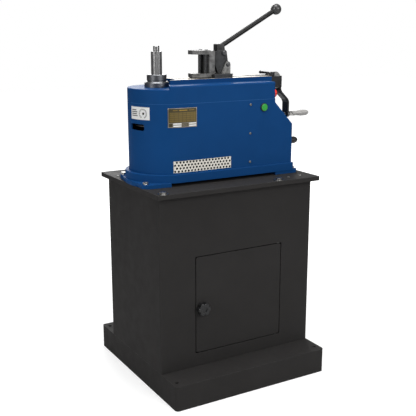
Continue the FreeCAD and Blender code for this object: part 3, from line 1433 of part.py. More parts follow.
def estop_button():
    top = "estop_collar_height + 6"
    body = turned("estop_button", "X", ("head_right_x", "estop_y", "estop_z"),
                  [("0", "-20"), ("button_stem_radius", "-20"), ("button_stem_radius", "10"), ("10", "10"),
                   ("10", top), ("estop_head_radius - 1", top), ("estop_head_radius", top + " + 2"),
                   ("estop_head_radius", top + " + 7"), ("estop_head_radius - 2", top + " + 11.5"),
                   ("estop_head_radius - 6", top + " + 14.5"), ("estop_head_radius - 11", top + " + 16"),
                   ("0", top + " + 16.5")])
    return node(body, "estop_button")


def cable_gland():
    body = turned("cable_gland", "X", ("body_right_x", "gland_y", "gland_z"),
                  [("gland_bore_radius", "-16"), ("gland_thread_radius", "-16"), ("gland_thread_radius", "0"),
                   ("gland_radius", "0"), ("gland_radius", "16"), ("gland_radius - 1.5", "18"),
                   ("gland_radius - 1.5", "38"), ("gland_radius - 4", "46"), ("gland_radius - 7", "50"),
                   ("gland_bore_radius", "50")])
    pad(body, "Z", "1", "8", hexagon("0", "0", "gland_flats"))
    pocket(body, "Z", "0", "9", ("0", "0", "gland_bore_radius"))
    return node(body, "cable_gland")


def check_and_export():
    """Refuse a failed object, then write one file for each piece."""
    doc.recompute()
    failed = [item.Name for item in doc.Objects if {"Invalid", "Error"} & set(item.State)]
    assert not failed, "failed objects: %s" % ", ".join(failed)
    os.makedirs("parts", exist_ok=True)
    for piece in NODES:
        shape = piece.Shape
        assert not shape.isNull() and shape.isValid() and shape.Solids, piece.Label
        shape.exportStep(os.path.join("parts", piece.Label + ".step"))
        box = shape.BoundBox
        print("%-20s %2d solid(s) %11.0f mm3  X %7.1f..%7.1f  Y %7.1f..%7.1f  Z %7.1f..%7.1f" % (
            piece.Label, len(shape.Solids), shape.Volume, box.XMin, box.XMax, box.YMin, box.YMax,
            box.ZMin, box.ZMax))
    print(len(NODES), "pieces")


for build in (plinth, cabinet_shell, table_plate, table_bolts, table_screws, cabinet_door, door_hinge_pins,
              door_hinge_brackets, door_knob, latch_cam, base_frame, foot_bolts, lower_casing, upper_casting,
              bed_wear_strips, vent_grille, data_plate, side_label, panel_screws, main_shaft, shaft_collar,
              main_gear, pinion_shaft, worm_wheel, worm_shaft, worm_bearings, bearing_plate, stay_posts,
              shaft_bush, angle_disc, electric_motor, motor_cradle, control_box, carriage_base, cheek_plates,
              clevis_lugs, lug_bolts, fork_body, roller_pins, lever_socket, lever_rod, lever_ball, pivot_pin,
              drive_pin, lead_screw, screw_housing, feed_nut, dial_collar, crank_arm, crank_nut, grip_spindle,
              crank_grip, clamp_lever, start_bezel, start_button, estop_base, estop_button, cable_gland):
    build()
fork_roller("front_roller", -1)
fork_roller("rear_roller", 1)
check_and_export()
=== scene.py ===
import math

import bmesh
import bpy
from mathutils import Matrix, Vector


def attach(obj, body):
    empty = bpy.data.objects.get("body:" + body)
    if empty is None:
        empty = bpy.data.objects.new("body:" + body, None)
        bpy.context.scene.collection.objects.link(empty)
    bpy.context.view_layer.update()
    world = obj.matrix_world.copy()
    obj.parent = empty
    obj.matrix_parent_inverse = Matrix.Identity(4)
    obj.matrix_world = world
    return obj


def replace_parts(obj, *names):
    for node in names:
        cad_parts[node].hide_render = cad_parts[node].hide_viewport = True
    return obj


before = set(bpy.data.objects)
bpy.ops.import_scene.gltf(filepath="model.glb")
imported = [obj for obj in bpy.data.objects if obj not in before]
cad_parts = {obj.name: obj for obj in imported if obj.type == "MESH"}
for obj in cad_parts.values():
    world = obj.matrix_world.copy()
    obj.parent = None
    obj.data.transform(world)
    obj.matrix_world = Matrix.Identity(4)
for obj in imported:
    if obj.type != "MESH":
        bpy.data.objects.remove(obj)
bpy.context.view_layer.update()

scene = bpy.context.scene
MM = 0.001

# Places on the object, in millimetres, as the CAD model has them
ARC_X = -173  # axis of the casing's rounded left end
HALF_DEPTH = 130  # half the casing's depth, and the radius of its rounded end
FLAT_END = 364  # length of the casing's flat front, from that axis
TABLE_TOP = 720
FOOT_THICKNESS = 13


# Materials

MATERIALS = {}
SPREAD = (0.3, 0.7)  # nearly all values of a noise texture lie between these
COLOUR_MIX = {"factor": 0, "first": 6, "second": 7, "result": 2}  # sockets of a Mix node
BEVEL_SAMPLES = 6


class Nodes:
    """A node tree, with short calls to add and link nodes."""

    def __init__(self, tree):
        self.tree = tree

    def add(self, kind, **settings):
        made = self.tree.nodes.new(kind)
        for key, value in settings.items():
            setattr(made, key, value)
        return made

    def link(self, source, target):
        self.tree.links.new(source, target)

    def feed(self, socket, value):
        """Link a socket, or set a constant on it."""
        if isinstance(value, bpy.types.NodeSocket):
            self.link(value, socket)
        else:
            socket.default_value = value

    def math(self, operation, first, second=0.0, clamp=False):
        made = self.add("ShaderNodeMath", operation=operation, use_clamp=clamp)
        self.feed(made.inputs[0], first)
        self.feed(made.inputs[1], second)
        return made.outputs[0]

    def seen(self):
        """1 for what is seen directly or through glass, 0 for what only gives light."""
        path = self.add("ShaderNodeLightPath")
        return self.math("ADD", path.outputs["Is Camera Ray"],
                         path.outputs["Is Transmission Ray"], clamp=True)


class Surface(Nodes):
    """The nodes of a new material, around its Principled BSDF."""

    def __init__(self, name):
        material = bpy.data.materials.new(name)
        material.use_nodes = True
        super().__init__(material.node_tree)
        self.shader = self.tree.nodes["Principled BSDF"]
        self.place = self.add("ShaderNodeTexCoord").outputs["Object"]
        MATERIALS[name] = material

    def set(self, name, value):
        self.feed(self.shader.inputs[name], value)

    def stretch(self, scale):
        """Object coordinates, scaled differently along each axis."""
        made = self.add("ShaderNodeMapping")
        self.link(self.place, made.inputs["Vector"])
        made.inputs["Scale"].default_value = scale
        return made.outputs["Vector"]

    def noise(self, scale, detail=3.0, roughness=0.5, vector=None):
        made = self.add("ShaderNodeTexNoise")
        self.link(vector or self.place, made.inputs["Vector"])
        made.inputs["Scale"].default_value = scale
        made.inputs["Detail"].default_value = detail
        made.inputs["Roughness"].default_value = roughness
        return made.outputs["Fac"]

    def ramp(self, value, low, high, out_low=0.0, out_high=1.0):
        made = self.add("ShaderNodeMapRange", clamp=True)
        self.link(value, made.inputs["Value"])
        limits = {"From Min": low, "From Max": high, "To Min": out_low, "To Max": out_high}
        for name, number in limits.items():
            made.inputs[name].default_value = number
        return made.outputs["Result"]

    def mix(self, factor, first, second):
        """Blend two colours, each given as an RGB triple or as a socket."""
        made = self.add("ShaderNodeMix", data_type="RGBA")
        self.feed(made.inputs[COLOUR_MIX["factor"]], factor)
        for name, colour in (("first", first), ("second", second)):
            if not isinstance(colour, bpy.types.NodeSocket):
                colour = (*colour, 1)
            self.feed(made.inputs[COLOUR_MIX[name]], colour)
        return made.outputs[COLOUR_MIX["result"]]

    def drift(self, mask, colour, darkest, lightest):
        """A colour that drifts between two shades of itself."""
        return self.mix(self.ramp(mask, *SPREAD), shade(colour, darkest), shade(colour, lightest))

    def roughness(self, mask, middle, less, more, spread=SPREAD):
        self.set("Roughness", self.ramp(mask, *spread, middle - less, middle + more))

    def rounded(self, radius):
        """The surface's normal, with its edges rounded to a radius in metres."""
        bevel = self.add("ShaderNodeBevel", samples=BEVEL_SAMPLES)
        bevel.inputs["Radius"].default_value = radius
        return bevel.outputs["Normal"]

    def wear_and_highlight_edges(self, radius, amount):
        """A mask that rises to the given amount along edges, where wear and a painted edge
        highlight go together.
        """
        dot = self.add("ShaderNodeVectorMath", operation="DOT_PRODUCT")
        self.link(self.rounded(radius), dot.inputs[0])
        self.link(self.add("ShaderNodeNewGeometry").outputs["Normal"], dot.inputs[1])
        away = self.math("SUBTRACT", 1.0, dot.outputs["Value"])
        patchy = self.noise(90.0, detail=4.0, roughness=0.65)
        rubbed_and_lit = self.math("MULTIPLY", self.ramp(away, low=0.02, high=0.25),
                           self.ramp(patchy, low=0.42, high=0.62))
        return self.math("MULTIPLY", rubbed_and_lit, amount)

    def bump(self, height, depth, strength, edge):
        """Relief of a depth in metres, over edges rounded to a radius in metres."""
        made = self.add("ShaderNodeBump")
        made.inputs["Distance"].default_value = depth
        made.inputs["Strength"].default_value = strength
        self.link(height, made.inputs["Height"])
        self.link(self.rounded(edge), made.inputs["Normal"])
        self.set("Normal", made.outputs["Normal"])


def shade(colour, factor):
    return tuple(channel * factor for channel in colour)


# In what follows, depth is that of the relief and edge the radius of the lightened edges, in
# metres; their light colour is partly wear and partly a painted highlight.

def painted(name, colour, roughness=0.4, peel=700.0, depth=0.00004, wear_and_highlight=None, edge=0.0012,
            mottle=0.12, sheen=0.25):
    """Enamel or powder coat: an orange-peel skin, faint colour drift, and lighter edges that are
    partly worn paint and partly a painted highlight.
    """
    m = Surface(name)
    cloud = m.noise(5.0, detail=5.0, roughness=0.6)
    base = m.drift(cloud, colour, 1 - mottle, 1 + mottle)
    # Lighter edges: partly wear, partly a painted highlight along them.
    if wear_and_highlight:
        base = m.mix(m.wear_and_highlight_edges(edge, 0.55), base, wear_and_highlight)
    m.set("Base Color", base)
    smear = m.noise(23.0, detail=4.0, roughness=0.55)
    m.roughness(smear, roughness, less=0.06, more=0.08)
    m.set("Specular IOR Level", sheen)
    m.bump(m.noise(peel, detail=2.0), depth, strength=0.6, edge=edge)
    return m


def printed(name, colour, roughness=0.4, depth=0.00002, mottle=0.2):
    """A thin coat of print: fine grain, sharp edges, no wear."""
    return painted(name, colour, roughness, peel=900.0, depth=depth, edge=0.0003, mottle=mottle)


def metal(name, colour, roughness=0.28, lines=(1, 1, 1), scale=400.0, depth=0.00002, edge=0.0006,
          stain=0.12):
    """Bare metal: tool marks stretched along one axis and a faint uneven stain."""
    m = Surface(name)
    marks = m.noise(scale, roughness=0.6, vector=m.stretch(lines))
    cloud = m.noise(14.0, detail=5.0, roughness=0.6)
    tone = m.drift(marks, colour, 1 - stain, 1 + stain)
    stained = m.math("MULTIPLY", m.ramp(cloud, low=0.35, high=0.75), 0.35)
    m.set("Base Color", m.mix(stained, tone, shade(colour, 0.62)))
    m.set("Metallic", 1.0)
    m.roughness(marks, roughness, less=0.07, more=0.1, spread=(0.25, 0.75))
    m.bump(marks, depth, strength=0.5, edge=edge)
    return m


def cast(name, colour, roughness=0.5, metallic=0.0, grain=260.0, depth=0.00012,
         wear_and_highlight=(0.3, 0.3, 0.31), edge=0.001, blotch=0.25):
    """A blackened or painted casting: a sandy, blotchy skin with bright edges that are partly worn
    and partly a painted highlight.
    """
    m = Surface(name)
    cloud = m.noise(30.0, detail=5.0, roughness=0.62)
    base = m.drift(cloud, colour, 1 - 0.8 * blotch, 1 + blotch)
    patches = m.noise(75.0)
    dark = m.math("MULTIPLY", m.ramp(patches, low=0.5, high=0.68), 0.8 * blotch)
    base = m.mix(dark, base, shade(colour, 0.25))
    # Lighter edges: partly wear, partly a painted highlight along them.
    m.set("Base Color", m.mix(m.wear_and_highlight_edges(edge, 0.7), base, wear_and_highlight))
    m.set("Metallic", metallic)
    m.roughness(cloud, roughness, less=0.08, more=0.1)
    m.bump(m.noise(grain, detail=4.0, roughness=0.6), depth, strength=0.7, edge=edge)
    return m


def moulded(name, colour, roughness=0.35):
    """Moulded plastic: fine spark texture, slight sheen of handling."""
    m = Surface(name)
    handled = m.noise(40.0, detail=4.0, roughness=0.55)
    m.set("Base Color", m.drift(handled, colour, 0.9, 1.12))
    m.roughness(handled, roughness, less=0.06, more=0.08)
    m.bump(m.noise(900.0, detail=2.0), depth=0.00003, strength=0.5, edge=0.0007)
    return m


def paint_hole_shade(m, depth, colour=(0.008, 0.008, 0.008)):
    """Paint shade on a front sheet below its face, in millimetres, so that the walls of its holes
    look shaded.
    """
    split = m.add("ShaderNodeSeparateXYZ")
    m.link(m.place, split.inputs["Vector"])
    along, across = split.outputs["X"], split.outputs["Y"]
    past_arc = m.math("MINIMUM", m.math("SUBTRACT", along, ARC_X * MM), 0.0)
    squares = m.math("ADD", m.math("MULTIPLY", past_arc, past_arc),
                     m.math("MULTIPLY", across, across))
    below = m.math("LESS_THAN", m.math("SQRT", squares), (HALF_DEPTH - depth) * MM)
    face = m.shader.inputs["Base Color"].links[0].from_socket
    m.set("Base Color", m.mix(below, face, colour))


# The stand's light edge colour is a painted highlight along its edges, together with some wear.
painted("stand_paint", (0.0325, 0.031, 0.0305), 0.5, peel=900.0, depth=0.00005,
        wear_and_highlight=(0.11, 0.11, 0.108), edge=0.0022, mottle=0.06, sheen=0.035)
painted("blue_paint", (0.0068, 0.053, 0.178), 0.42, peel=520.0, wear_and_highlight=(0.03, 0.115, 0.29),
        edge=0.0016, mottle=0.07, sheen=0.035)
# A lighter blue than the casing: a painted highlight along the casing's joint line.
painted("seam_highlight_paint", (0.02, 0.095, 0.26), 0.5, depth=0.00003, wear_and_highlight=(0.03, 0.11, 0.28),
        edge=0.0004, mottle=0.15, sheen=0.1)
painted("motor_grey", (0.16, 0.18, 0.2), 0.42, peel=500.0, depth=0.00006, wear_and_highlight=(0.3, 0.3, 0.3))
painted("rod_steel", (0.012, 0.0118, 0.0115), 0.24, peel=260.0, depth=0.00003, edge=0.0008,
        mottle=0.2, sheen=0.16)
painted("grip_grey", (0.4, 0.392, 0.38), 0.3, peel=400.0, depth=0.00002, wear_and_highlight=(0.5, 0.49, 0.48),
        edge=0.0008, mottle=0.06, sheen=0.3)
# Painted shade inside the vent sheet's holes.
paint_hole_shade(painted("cream_sheet", (0.8, 0.77, 0.7), 0.42, edge=0.0005, mottle=0.05), depth=1.1)

metal("bright_steel", (0.62, 0.61, 0.59), 0.26, lines=(1, 1, 6), scale=260.0)
metal("ground_steel", (0.46, 0.425, 0.365), 0.36, lines=(0.25, 9, 1), scale=240.0)
metal("satin_steel", (0.4, 0.395, 0.385), 0.44, lines=(3, 1, 1), scale=420.0, depth=0.00001,
      stain=0.1)
metal("zinc_steel", (0.3, 0.295, 0.285), 0.3, lines=(1, 1, 6), scale=260.0, stain=0.2)
metal("turned_collar", (0.21, 0.216, 0.228), 0.34, lines=(1, 1, 12), scale=120.0, depth=0.00001,
      edge=0.0008, stain=0.1)
metal("polished_shaft", (0.4, 0.4, 0.4), 0.3, lines=(1, 1, 0.12), scale=520.0, depth=0.000004,
      edge=0.0005, stain=0.05)
metal("machined_steel", (0.42, 0.42, 0.42), 0.34, lines=(1, 1, 5), scale=220.0)
metal("dark_steel", (0.13, 0.13, 0.135), 0.34, lines=(1, 1, 3), scale=200.0, stain=0.15)
metal("gunmetal", (0.26, 0.255, 0.25), 0.3, scale=160.0, stain=0.15)
metal("roller_steel", (0.11, 0.11, 0.112), 0.28, lines=(1, 1, 6), scale=220.0, stain=0.15)
metal("bronze", (0.62, 0.4, 0.17), 0.3, lines=(1, 1, 4), scale=200.0)
metal("plate_aluminium", (0.36, 0.33, 0.27), 0.42, lines=(1, 30, 1), scale=180.0)

cast("dark_casting", (0.034, 0.035, 0.037), 0.46, metallic=0.35, grain=240.0, depth=0.00014,
     wear_and_highlight=(0.3, 0.3, 0.29), edge=0.0013, blotch=0.8)
cast("black_casting", (0.012, 0.012, 0.013), 0.36, metallic=0.1, grain=300.0, depth=0.00008,
     wear_and_highlight=(0.1, 0.1, 0.1), edge=0.0016)
cast("fork_casting", (0.135, 0.133, 0.13), 0.44, metallic=0.5, grain=200.0, depth=0.00014,
     wear_and_highlight=(0.42, 0.415, 0.4), edge=0.0016, blotch=0.8)
cast("socket_casting", (0.05, 0.05, 0.05), 0.42, metallic=0.5, grain=220.0,
     wear_and_highlight=(0.3, 0.3, 0.29), edge=0.0012, blotch=0.7)
cast("light_casting", (0.24, 0.236, 0.228), 0.5, metallic=0.45, grain=240.0, depth=0.0001,
     wear_and_highlight=(0.42, 0.41, 0.39), blotch=0.6)

printed("plate_print", (0.062, 0.05, 0.024))
printed("plate_heading", (0.36, 0.23, 0.04))
printed("plate_field", (0.16, 0.115, 0.035), mottle=0.25)
printed("label_white", (0.8, 0.8, 0.79), 0.35, depth=0.00001, mottle=0.03)
printed("label_ink", (0.03, 0.025, 0.022), depth=0.00001, mottle=0.1)
printed("label_grey", (0.1, 0.1, 0.105), depth=0.00001, mottle=0.1)

moulded("box_grey", (0.5, 0.5, 0.48), 0.5)
moulded("black_plastic", (0.013, 0.013, 0.014), 0.32)
moulded("grey_plastic", (0.05, 0.05, 0.05), 0.3)
moulded("green_plastic", (0.034, 0.34, 0.05), 0.28)
moulded("red_plastic", (0.72, 0.03, 0.018), 0.25)

NODE_MATERIALS = {
    "stand_paint": ["plinth", "cabinet_shell", "table_plate", "cabinet_door",
                    "door_hinge_brackets"],
    "blue_paint": ["base_frame", "lower_casing", "upper_casting"],
    "bright_steel": ["door_hinge_pins", "grip_spindle", "latch_cam"],
    "satin_steel": ["dial_collar"],
    "zinc_steel": ["table_bolts", "foot_bolts", "table_screws"],
    # The angle disc is dark steel as painted shade, so that the slots over it look dark.
    "dark_steel": ["angle_disc", "pivot_pin", "roller_pins", "drive_pin", "lug_bolts",
                   "crank_nut"],
    "ground_steel": ["bed_wear_strips"],
    "polished_shaft": ["main_shaft"],
    "turned_collar": ["shaft_collar"],
    "machined_steel": ["main_gear", "pinion_shaft", "worm_shaft", "lead_screw", "stay_posts"],
    "gunmetal": ["panel_screws"],
    "rod_steel": ["lever_rod"],
    "grip_grey": ["crank_grip"],
    "roller_steel": ["front_roller", "rear_roller"],
    "dark_casting": ["carriage_base", "cheek_plates", "worm_bearings", "bearing_plate",
                     "motor_cradle"],
    "fork_casting": ["fork_body"],
    "socket_casting": ["lever_socket"],
    "black_casting": ["crank_arm", "screw_housing"],
    "light_casting": ["clevis_lugs"],
    "bronze": ["worm_wheel", "shaft_bush", "feed_nut"],
    "motor_grey": ["electric_motor"],
    "box_grey": ["control_box"],
    "cream_sheet": ["vent_grille"],
    "plate_aluminium": ["data_plate"],
    "label_white": ["side_label"],
    "black_plastic": ["door_knob", "clamp_lever", "start_bezel", "cable_gland"],
    "grey_plastic": ["lever_ball", "estop_base"],
    "green_plastic": ["start_button"],
    "red_plastic": ["estop_button"],
}
for material_name, node_names in NODE_MATERIALS.items():
    for node_name in node_names:
        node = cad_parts[node_name]
        if not node.material_slots:
            node.data.materials.append(None)
        for material_slot in node.material_slots:
            material_slot.material = MATERIALS[material_name]


# Mesh helpers, in millimetres

MERGE_WITHIN = 0.0005
SHARP_ANGLE = 35.0
HEXAGON_SIDE = math.pi / 3  # the angle that one side of a hexagon takes up


def new_piece(name, bm, material, body):
    """Turn a mesh in millimetres into a piece that rides on a body."""
    bmesh.ops.remove_doubles(bm, verts=bm.verts, dist=MERGE_WITHIN)
    bmesh.ops.recalc_face_normals(bm, faces=bm.faces)
    bmesh.ops.scale(bm, vec=(MM, MM, MM), verts=bm.verts)
    mesh = bpy.data.meshes.new(name)
    bm.to_mesh(mesh)
    bm.free()
    mesh.shade_smooth()
    mesh.set_sharp_from_angle(angle=math.radians(SHARP_ANGLE))
    piece = bpy.data.objects.new(name, mesh)
    scene.collection.objects.link(piece)
    mesh.materials.append(MATERIALS[material])
    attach(piece, body)
    return piece


def placed(origin, axis=(0, 0, 1), turn=0.0):
    """The matrix that moves a shape to an origin, its +Z along an axis, turned in degrees."""
    tilt = Vector((0, 0, 1)).rotation_difference(Vector(axis).normalized()).to_matrix().to_4x4()
    return Matrix.Translation(Vector(origin)) @ tilt @ Matrix.Rotation(math.radians(turn), 4, "Z")


def join_rings(bm, low, high):
    """Faces between two rings of points, of which one may be a single point."""
    if len(low) == 1 and len(high) == 1:
        return
    count = max(len(low), len(high))
    for i in range(count):
        j = (i + 1) % count
        if len(low) == 1:
            bm.faces.new((low[0], high[j], high[i]))
        elif len(high) == 1:
            bm.faces.new((low[i], low[j], high[0]))
        else:
            bm.faces.new((low[i], low[j], high[j], high[i]))


def join_all(bm, rings):
    for low, high in zip(rings, rings[1:]):
        join_rings(bm, low, high)


def solid(bm, rings):
    """A closed shape through rings of points, with a face over each end."""
    join_all(bm, rings)
    bm.faces.new(rings[-1])
    bm.faces.new(list(reversed(rings[0])))


def lathe(bm, profile, matrix, steps=48):
    """Revolve (radius, height) pairs about the local Z axis."""
    rings = []
    for radius, height in profile:
        if radius == 0:
            rings.append([bm.verts.new(matrix @ Vector((0, 0, height)))])
            continue
        ring = []
        for i in range(steps):
            angle = math.tau * i / steps
            point = Vector((radius * math.cos(angle), radius * math.sin(angle), height))
            ring.append(bm.verts.new(matrix @ point))
        rings.append(ring)
    join_all(bm, rings)
    return rings


def hexagon_reach(flats, angle):
    """The distance from the centre of a hexagon to its side, in one direction."""
    off = (angle + HEXAGON_SIDE / 2) % HEXAGON_SIDE - HEXAGON_SIDE / 2
    return flats / 2 / math.cos(off)


# Fasteners

FIRST_TURN, NEXT_TURN = 15, 37  # degrees, so that no two bolts stand alike
LAP = 0.05  # gap between a washer and its bolt's head, so that no two faces coincide
HEAD_CHAMFER = 0.95  # radius of a hexagon head's flat top, as a share of half its flats
HEAD_SLOPE = math.tan(math.radians(30))
SCREW_SHANK = 2.5


def hex_head(bm, matrix, flats, height, steps=48):
    """A hexagon head whose corners are turned off in a cone at the top."""
    top = flats / 2 * HEAD_CHAMFER
    bottom_ring, shoulder, rim = [], [], []
    for i in range(steps):
        angle = math.tau * i / steps
        reach = hexagon_reach(flats, angle)
        direction = Vector((math.cos(angle), math.sin(angle), 0))
        bottom_ring.append(bm.verts.new(matrix @ (direction * reach)))
        drop = (reach - top) * HEAD_SLOPE
        corner = direction * reach + Vector((0, 0, height - drop))
        shoulder.append(bm.verts.new(matrix @ corner))
        rim.append(bm.verts.new(matrix @ (direction * top + Vector((0, 0, height)))))
    solid(bm, [bottom_ring, shoulder, rim])


def socket_head(bm, matrix, radius, height, socket, steps=36):
    """A domed screw head with a hexagon socket."""
    sunk = 0.2
    dome = [(1, 0.35), (0.93, 0.7), (0.78, 0.93), (0.6, 1)]  # shares of the radius and height
    outer = [(0, -sunk), (radius - sunk, -sunk), (radius, 0)]
    outer += [(radius * across, height * up) for across, up in dome]
    rim = lathe(bm, outer, matrix, steps)[-1]
    socket_floor = height * 0.35
    mouth, floor = [], []
    for i in range(steps):
        angle = math.tau * i / steps
        side = Vector((math.cos(angle), math.sin(angle), 0)) * hexagon_reach(socket, angle)
        mouth.append(bm.verts.new(matrix @ (side + Vector((0, 0, height)))))
        floor.append(bm.verts.new(matrix @ (side + Vector((0, 0, socket_floor)))))
    join_all(bm, [rim, mouth, floor])
    bm.faces.new(floor)


def shank(bm, matrix, radius, depth, top, steps):
    """A plain rod from a depth below a fastener's seat up to a height above it."""
    lathe(bm, [(0, -depth), (radius, -depth), (radius, top), (0, top)], matrix, steps)


def bolt_set(name, material, places, shank_radius, depth, flats, head, washer_radius, washer):
    """Hexagon bolts with chamfered heads and washers, each turned a little differently."""
    bm = bmesh.new()
    for i, place in enumerate(places):
        at = placed(place, turn=FIRST_TURN + NEXT_TURN * i)
        lathe(bm, [(0, 0), (washer_radius - 0.5, 0), (washer_radius, 0.4),
                   (washer_radius, washer - 0.5), (washer_radius - 0.6, washer), (0, washer)], at)
        hex_head(bm, at @ Matrix.Translation((0, 0, washer + LAP)), flats, head)
        shank(bm, at, shank_radius, depth, top=0.2, steps=24)
    return new_piece(name, bm, material, "stand")


def screw_set(name, material, places, radius, height, socket, depth):
    """Screws with domed socket heads."""
    bm = bmesh.new()
    for at in places:
        socket_head(bm, at, radius, height, socket)
        shank(bm, at, SCREW_SHANK, depth, top=-0.1, steps=20)
    return new_piece(name, bm, material, "stand")


TABLE_BOLTS = [(-297, -217.5, TABLE_TOP), (157, -217.5, TABLE_TOP)]
FOOT_BOLTS = [(x, y, TABLE_TOP + FOOT_THICKNESS)
              for x, y in ((-305, -108), (-297, 90), (288.5, -112), (288.5, 112))]
TABLE_SCREWS = [placed((x, y, TABLE_TOP), turn=x)
                for x, y in ((217, -192), (270, -189), (-300, 133), (270, 189))]
PANEL_SCREWS = [placed((92, -HALF_DEPTH, z), (0, -1, 0), 20 * i)
                for i, z in enumerate((978, 878, 777))]

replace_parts(bolt_set("table_bolt_heads", "zinc_steel", TABLE_BOLTS, shank_radius=6, depth=13,
                     flats=22, head=6, washer_radius=18, washer=2), "table_bolts")
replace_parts(bolt_set("foot_bolt_heads", "bright_steel", FOOT_BOLTS, shank_radius=5, depth=26,
                     flats=17, head=6.5, washer_radius=9.5, washer=2), "foot_bolts")
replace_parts(screw_set("table_screw_heads", "zinc_steel", TABLE_SCREWS, radius=4.8, height=2.6,
                      socket=3.0, depth=13), "table_screws")
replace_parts(screw_set("panel_screw_heads", "gunmetal", PANEL_SCREWS, radius=4.5, height=3.0,
                      socket=2.6, depth=11), "panel_screws")


# Prints on the plate and the label, laid on the curved and flat front of the casing

PLATE_S0, PLATE_S1, PLATE_Z0, PLATE_Z1 = -54.0, 50.0, 917.0, 981.0
PLATE_FACE = 1.2  # how far the plate's face stands off the casing
LABEL_FACE = 0.5
SUNK = 0.05  # how far a print reaches into the face under it
TEXT_TOP, TEXT_PITCH, TEXT_HEIGHT = 971, 6.4, 3.2
SEAM_Z0, SEAM_Z1 = 993.2, 994.6


def on_front(s, z, proud):
    """A point on the front skin: s runs along it, zero where the rounded end meets the flat."""
    radius = HALF_DEPTH + proud
    if s >= 0:
        return Vector((ARC_X + s, -radius, z))
    angle = s / HALF_DEPTH
    return Vector((ARC_X + radius * math.sin(angle), -radius * math.cos(angle), z))


def patch(bm, s0, s1, z0, z1, low, high, step=3.0):
    """A thin tile on the front skin, in strips of at most a step where the skin is curved."""
    count = max(1, int(math.ceil(abs(s1 - s0) / step)))
    grid = []
    for i in range(count + 1):
        s = s0 + (s1 - s0) * i / count
        grid.append([bm.verts.new(on_front(s, z, proud))
                     for z, proud in ((z0, low), (z0, high), (z1, high), (z1, low))])
    join_all(bm, grid)
    bm.faces.new(grid[0])
    bm.faces.new(list(reversed(grid[-1])))


def outlined(bm, outline, low, high):
    """A thin tile on the front skin, over an outline of (s, z) points."""
    solid(bm, [[bm.verts.new(on_front(s, z, proud)) for s, z in outline] for proud in (low, high)])


def plate_tiles(name, material, tiles, proud, sunk=0.0):
    """A group of (s0, s1, z0, z1) tiles on the data plate."""
    bm = bmesh.new()
    for tile in tiles:
        patch(bm, *tile, PLATE_FACE - sunk, PLATE_FACE + proud)
    new_piece(name, bm, material, "stand")


def plate_prints():
    """A table of plain ruled fields, with no lettering."""
    left, right = PLATE_S0 + 2.2, PLATE_S1 - 2.0
    plate_tiles("plate_ground", "plate_print",
                [(left, right, PLATE_Z0 + 15.5, PLATE_Z1 - 1.8)], 0.08, SUNK)
    plate_tiles("plate_heading", "plate_heading",
                [(left + 36, right - 34, PLATE_Z1 - 9, PLATE_Z1 - 6),
                 (left + 14, left + 30, PLATE_Z1 - 8.4, PLATE_Z1 - 7),
                 (right - 28, right - 8, PLATE_Z1 - 8.4, PLATE_Z1 - 7)], 0.16)
    columns = [left + across for across in (2, 18, 34, 48, 62, 76, 88)] + [right - 2]
    rows = [PLATE_Z1 - down for down in (13.5, 18.5, 25.5, 32.5, 39.5)] + [PLATE_Z0 + 17]
    rule = 0.45  # half the width of the line between two fields
    plate_tiles("plate_fields", "plate_field",
                [(start + rule, end - rule, bottom + rule, top - rule)
                 for top, bottom in zip(rows, rows[1:])
                 for start, end in zip(columns, columns[1:])], 0.14)
    bars = [(left + 45, left + 70, PLATE_Z0 + 2.8 + 4 * i, PLATE_Z0 + 5.6 + 4 * i)
            for i in range(3)]
    plate_tiles("plate_foot_cells", "plate_print",
                [(left + 1, left + 13, PLATE_Z0 + 3, PLATE_Z0 + 13.5), *bars], 0.14)
    plate_tiles("plate_foot_fields", "label_white",
                [(start, end, PLATE_Z0 + low, PLATE_Z0 + high)
                 for start, end in ((left + 15, left + 43), (left + 72, right - 1))
                 for low, high in ((2.6, 7.2), (10.2, 14.2))], 0.14)
    rivets = bmesh.new()
    for s in (PLATE_S0 + 1.6, PLATE_S1 - 1.4):
        for z in (PLATE_Z0 + 1.8, PLATE_Z1 - 1.4):
            centre = on_front(s, z, PLATE_FACE)
            outward = on_front(s, z, PLATE_FACE + 1) - centre
            lathe(rivets, [(0, -0.3), (1.1, -0.3), (1.1, 0.1), (0.7, 0.45), (0, 0.6)],
                  placed(centre, outward), 16)
    new_piece("plate_rivets", rivets, "bright_steel", "stand")


def label_prints():
    """Text-like bars on the left and a plain dial on the right of the white label."""
    low, high = LABEL_FACE - SUNK, LABEL_FACE + 0.1

    def along(angle):
        """The place of an angle round the end, which is 90 degrees where the flat begins."""
        return -HALF_DEPTH * math.radians(90 - angle)

    bars = bmesh.new()
    for i, end in enumerate((15, 17, 16, 17.5)):
        z = TEXT_TOP - TEXT_PITCH * i
        patch(bars, along(4.5), along(end), z, z + TEXT_HEIGHT, low, high)
    new_piece("label_bars", bars, "label_grey", "stand")

    centre_s, centre_z, dial_radius = along(27.5), 961.5, 16.5
    mark_count, gap_at_foot, half_width = 24, (17, 18, 19), 0.075
    marks = bmesh.new()
    for i in range(mark_count):
        if i in gap_at_foot:
            continue
        angle = math.tau * i / mark_count
        inner = dial_radius - (5.5 if i % 2 == 0 else 3.0)
        corners = ((inner, -half_width), (dial_radius, -half_width),
                   (dial_radius, half_width), (inner, half_width))
        outlined(marks, [(centre_s + reach * math.cos(angle + offset),
                          centre_z + reach * math.sin(angle + offset))
                         for reach, offset in corners], low, high)
    new_piece("label_dial_marks", marks, "label_grey", "stand")

    hub_steps, hub_radius, hub_shift = 28, 4.6, 2
    hub = bmesh.new()
    outline = []
    for i in range(hub_steps):
        angle = math.tau * i / hub_steps
        squeeze = 1.0 if i < hub_steps / 2 else 0.8
        outline.append((centre_s + hub_radius * math.cos(angle) * squeeze + hub_shift,
                        centre_z + hub_radius * math.sin(angle)))
    outlined(hub, outline, low, LABEL_FACE + 0.12)
    new_piece("label_dial_centre", hub, "label_ink", "stand")


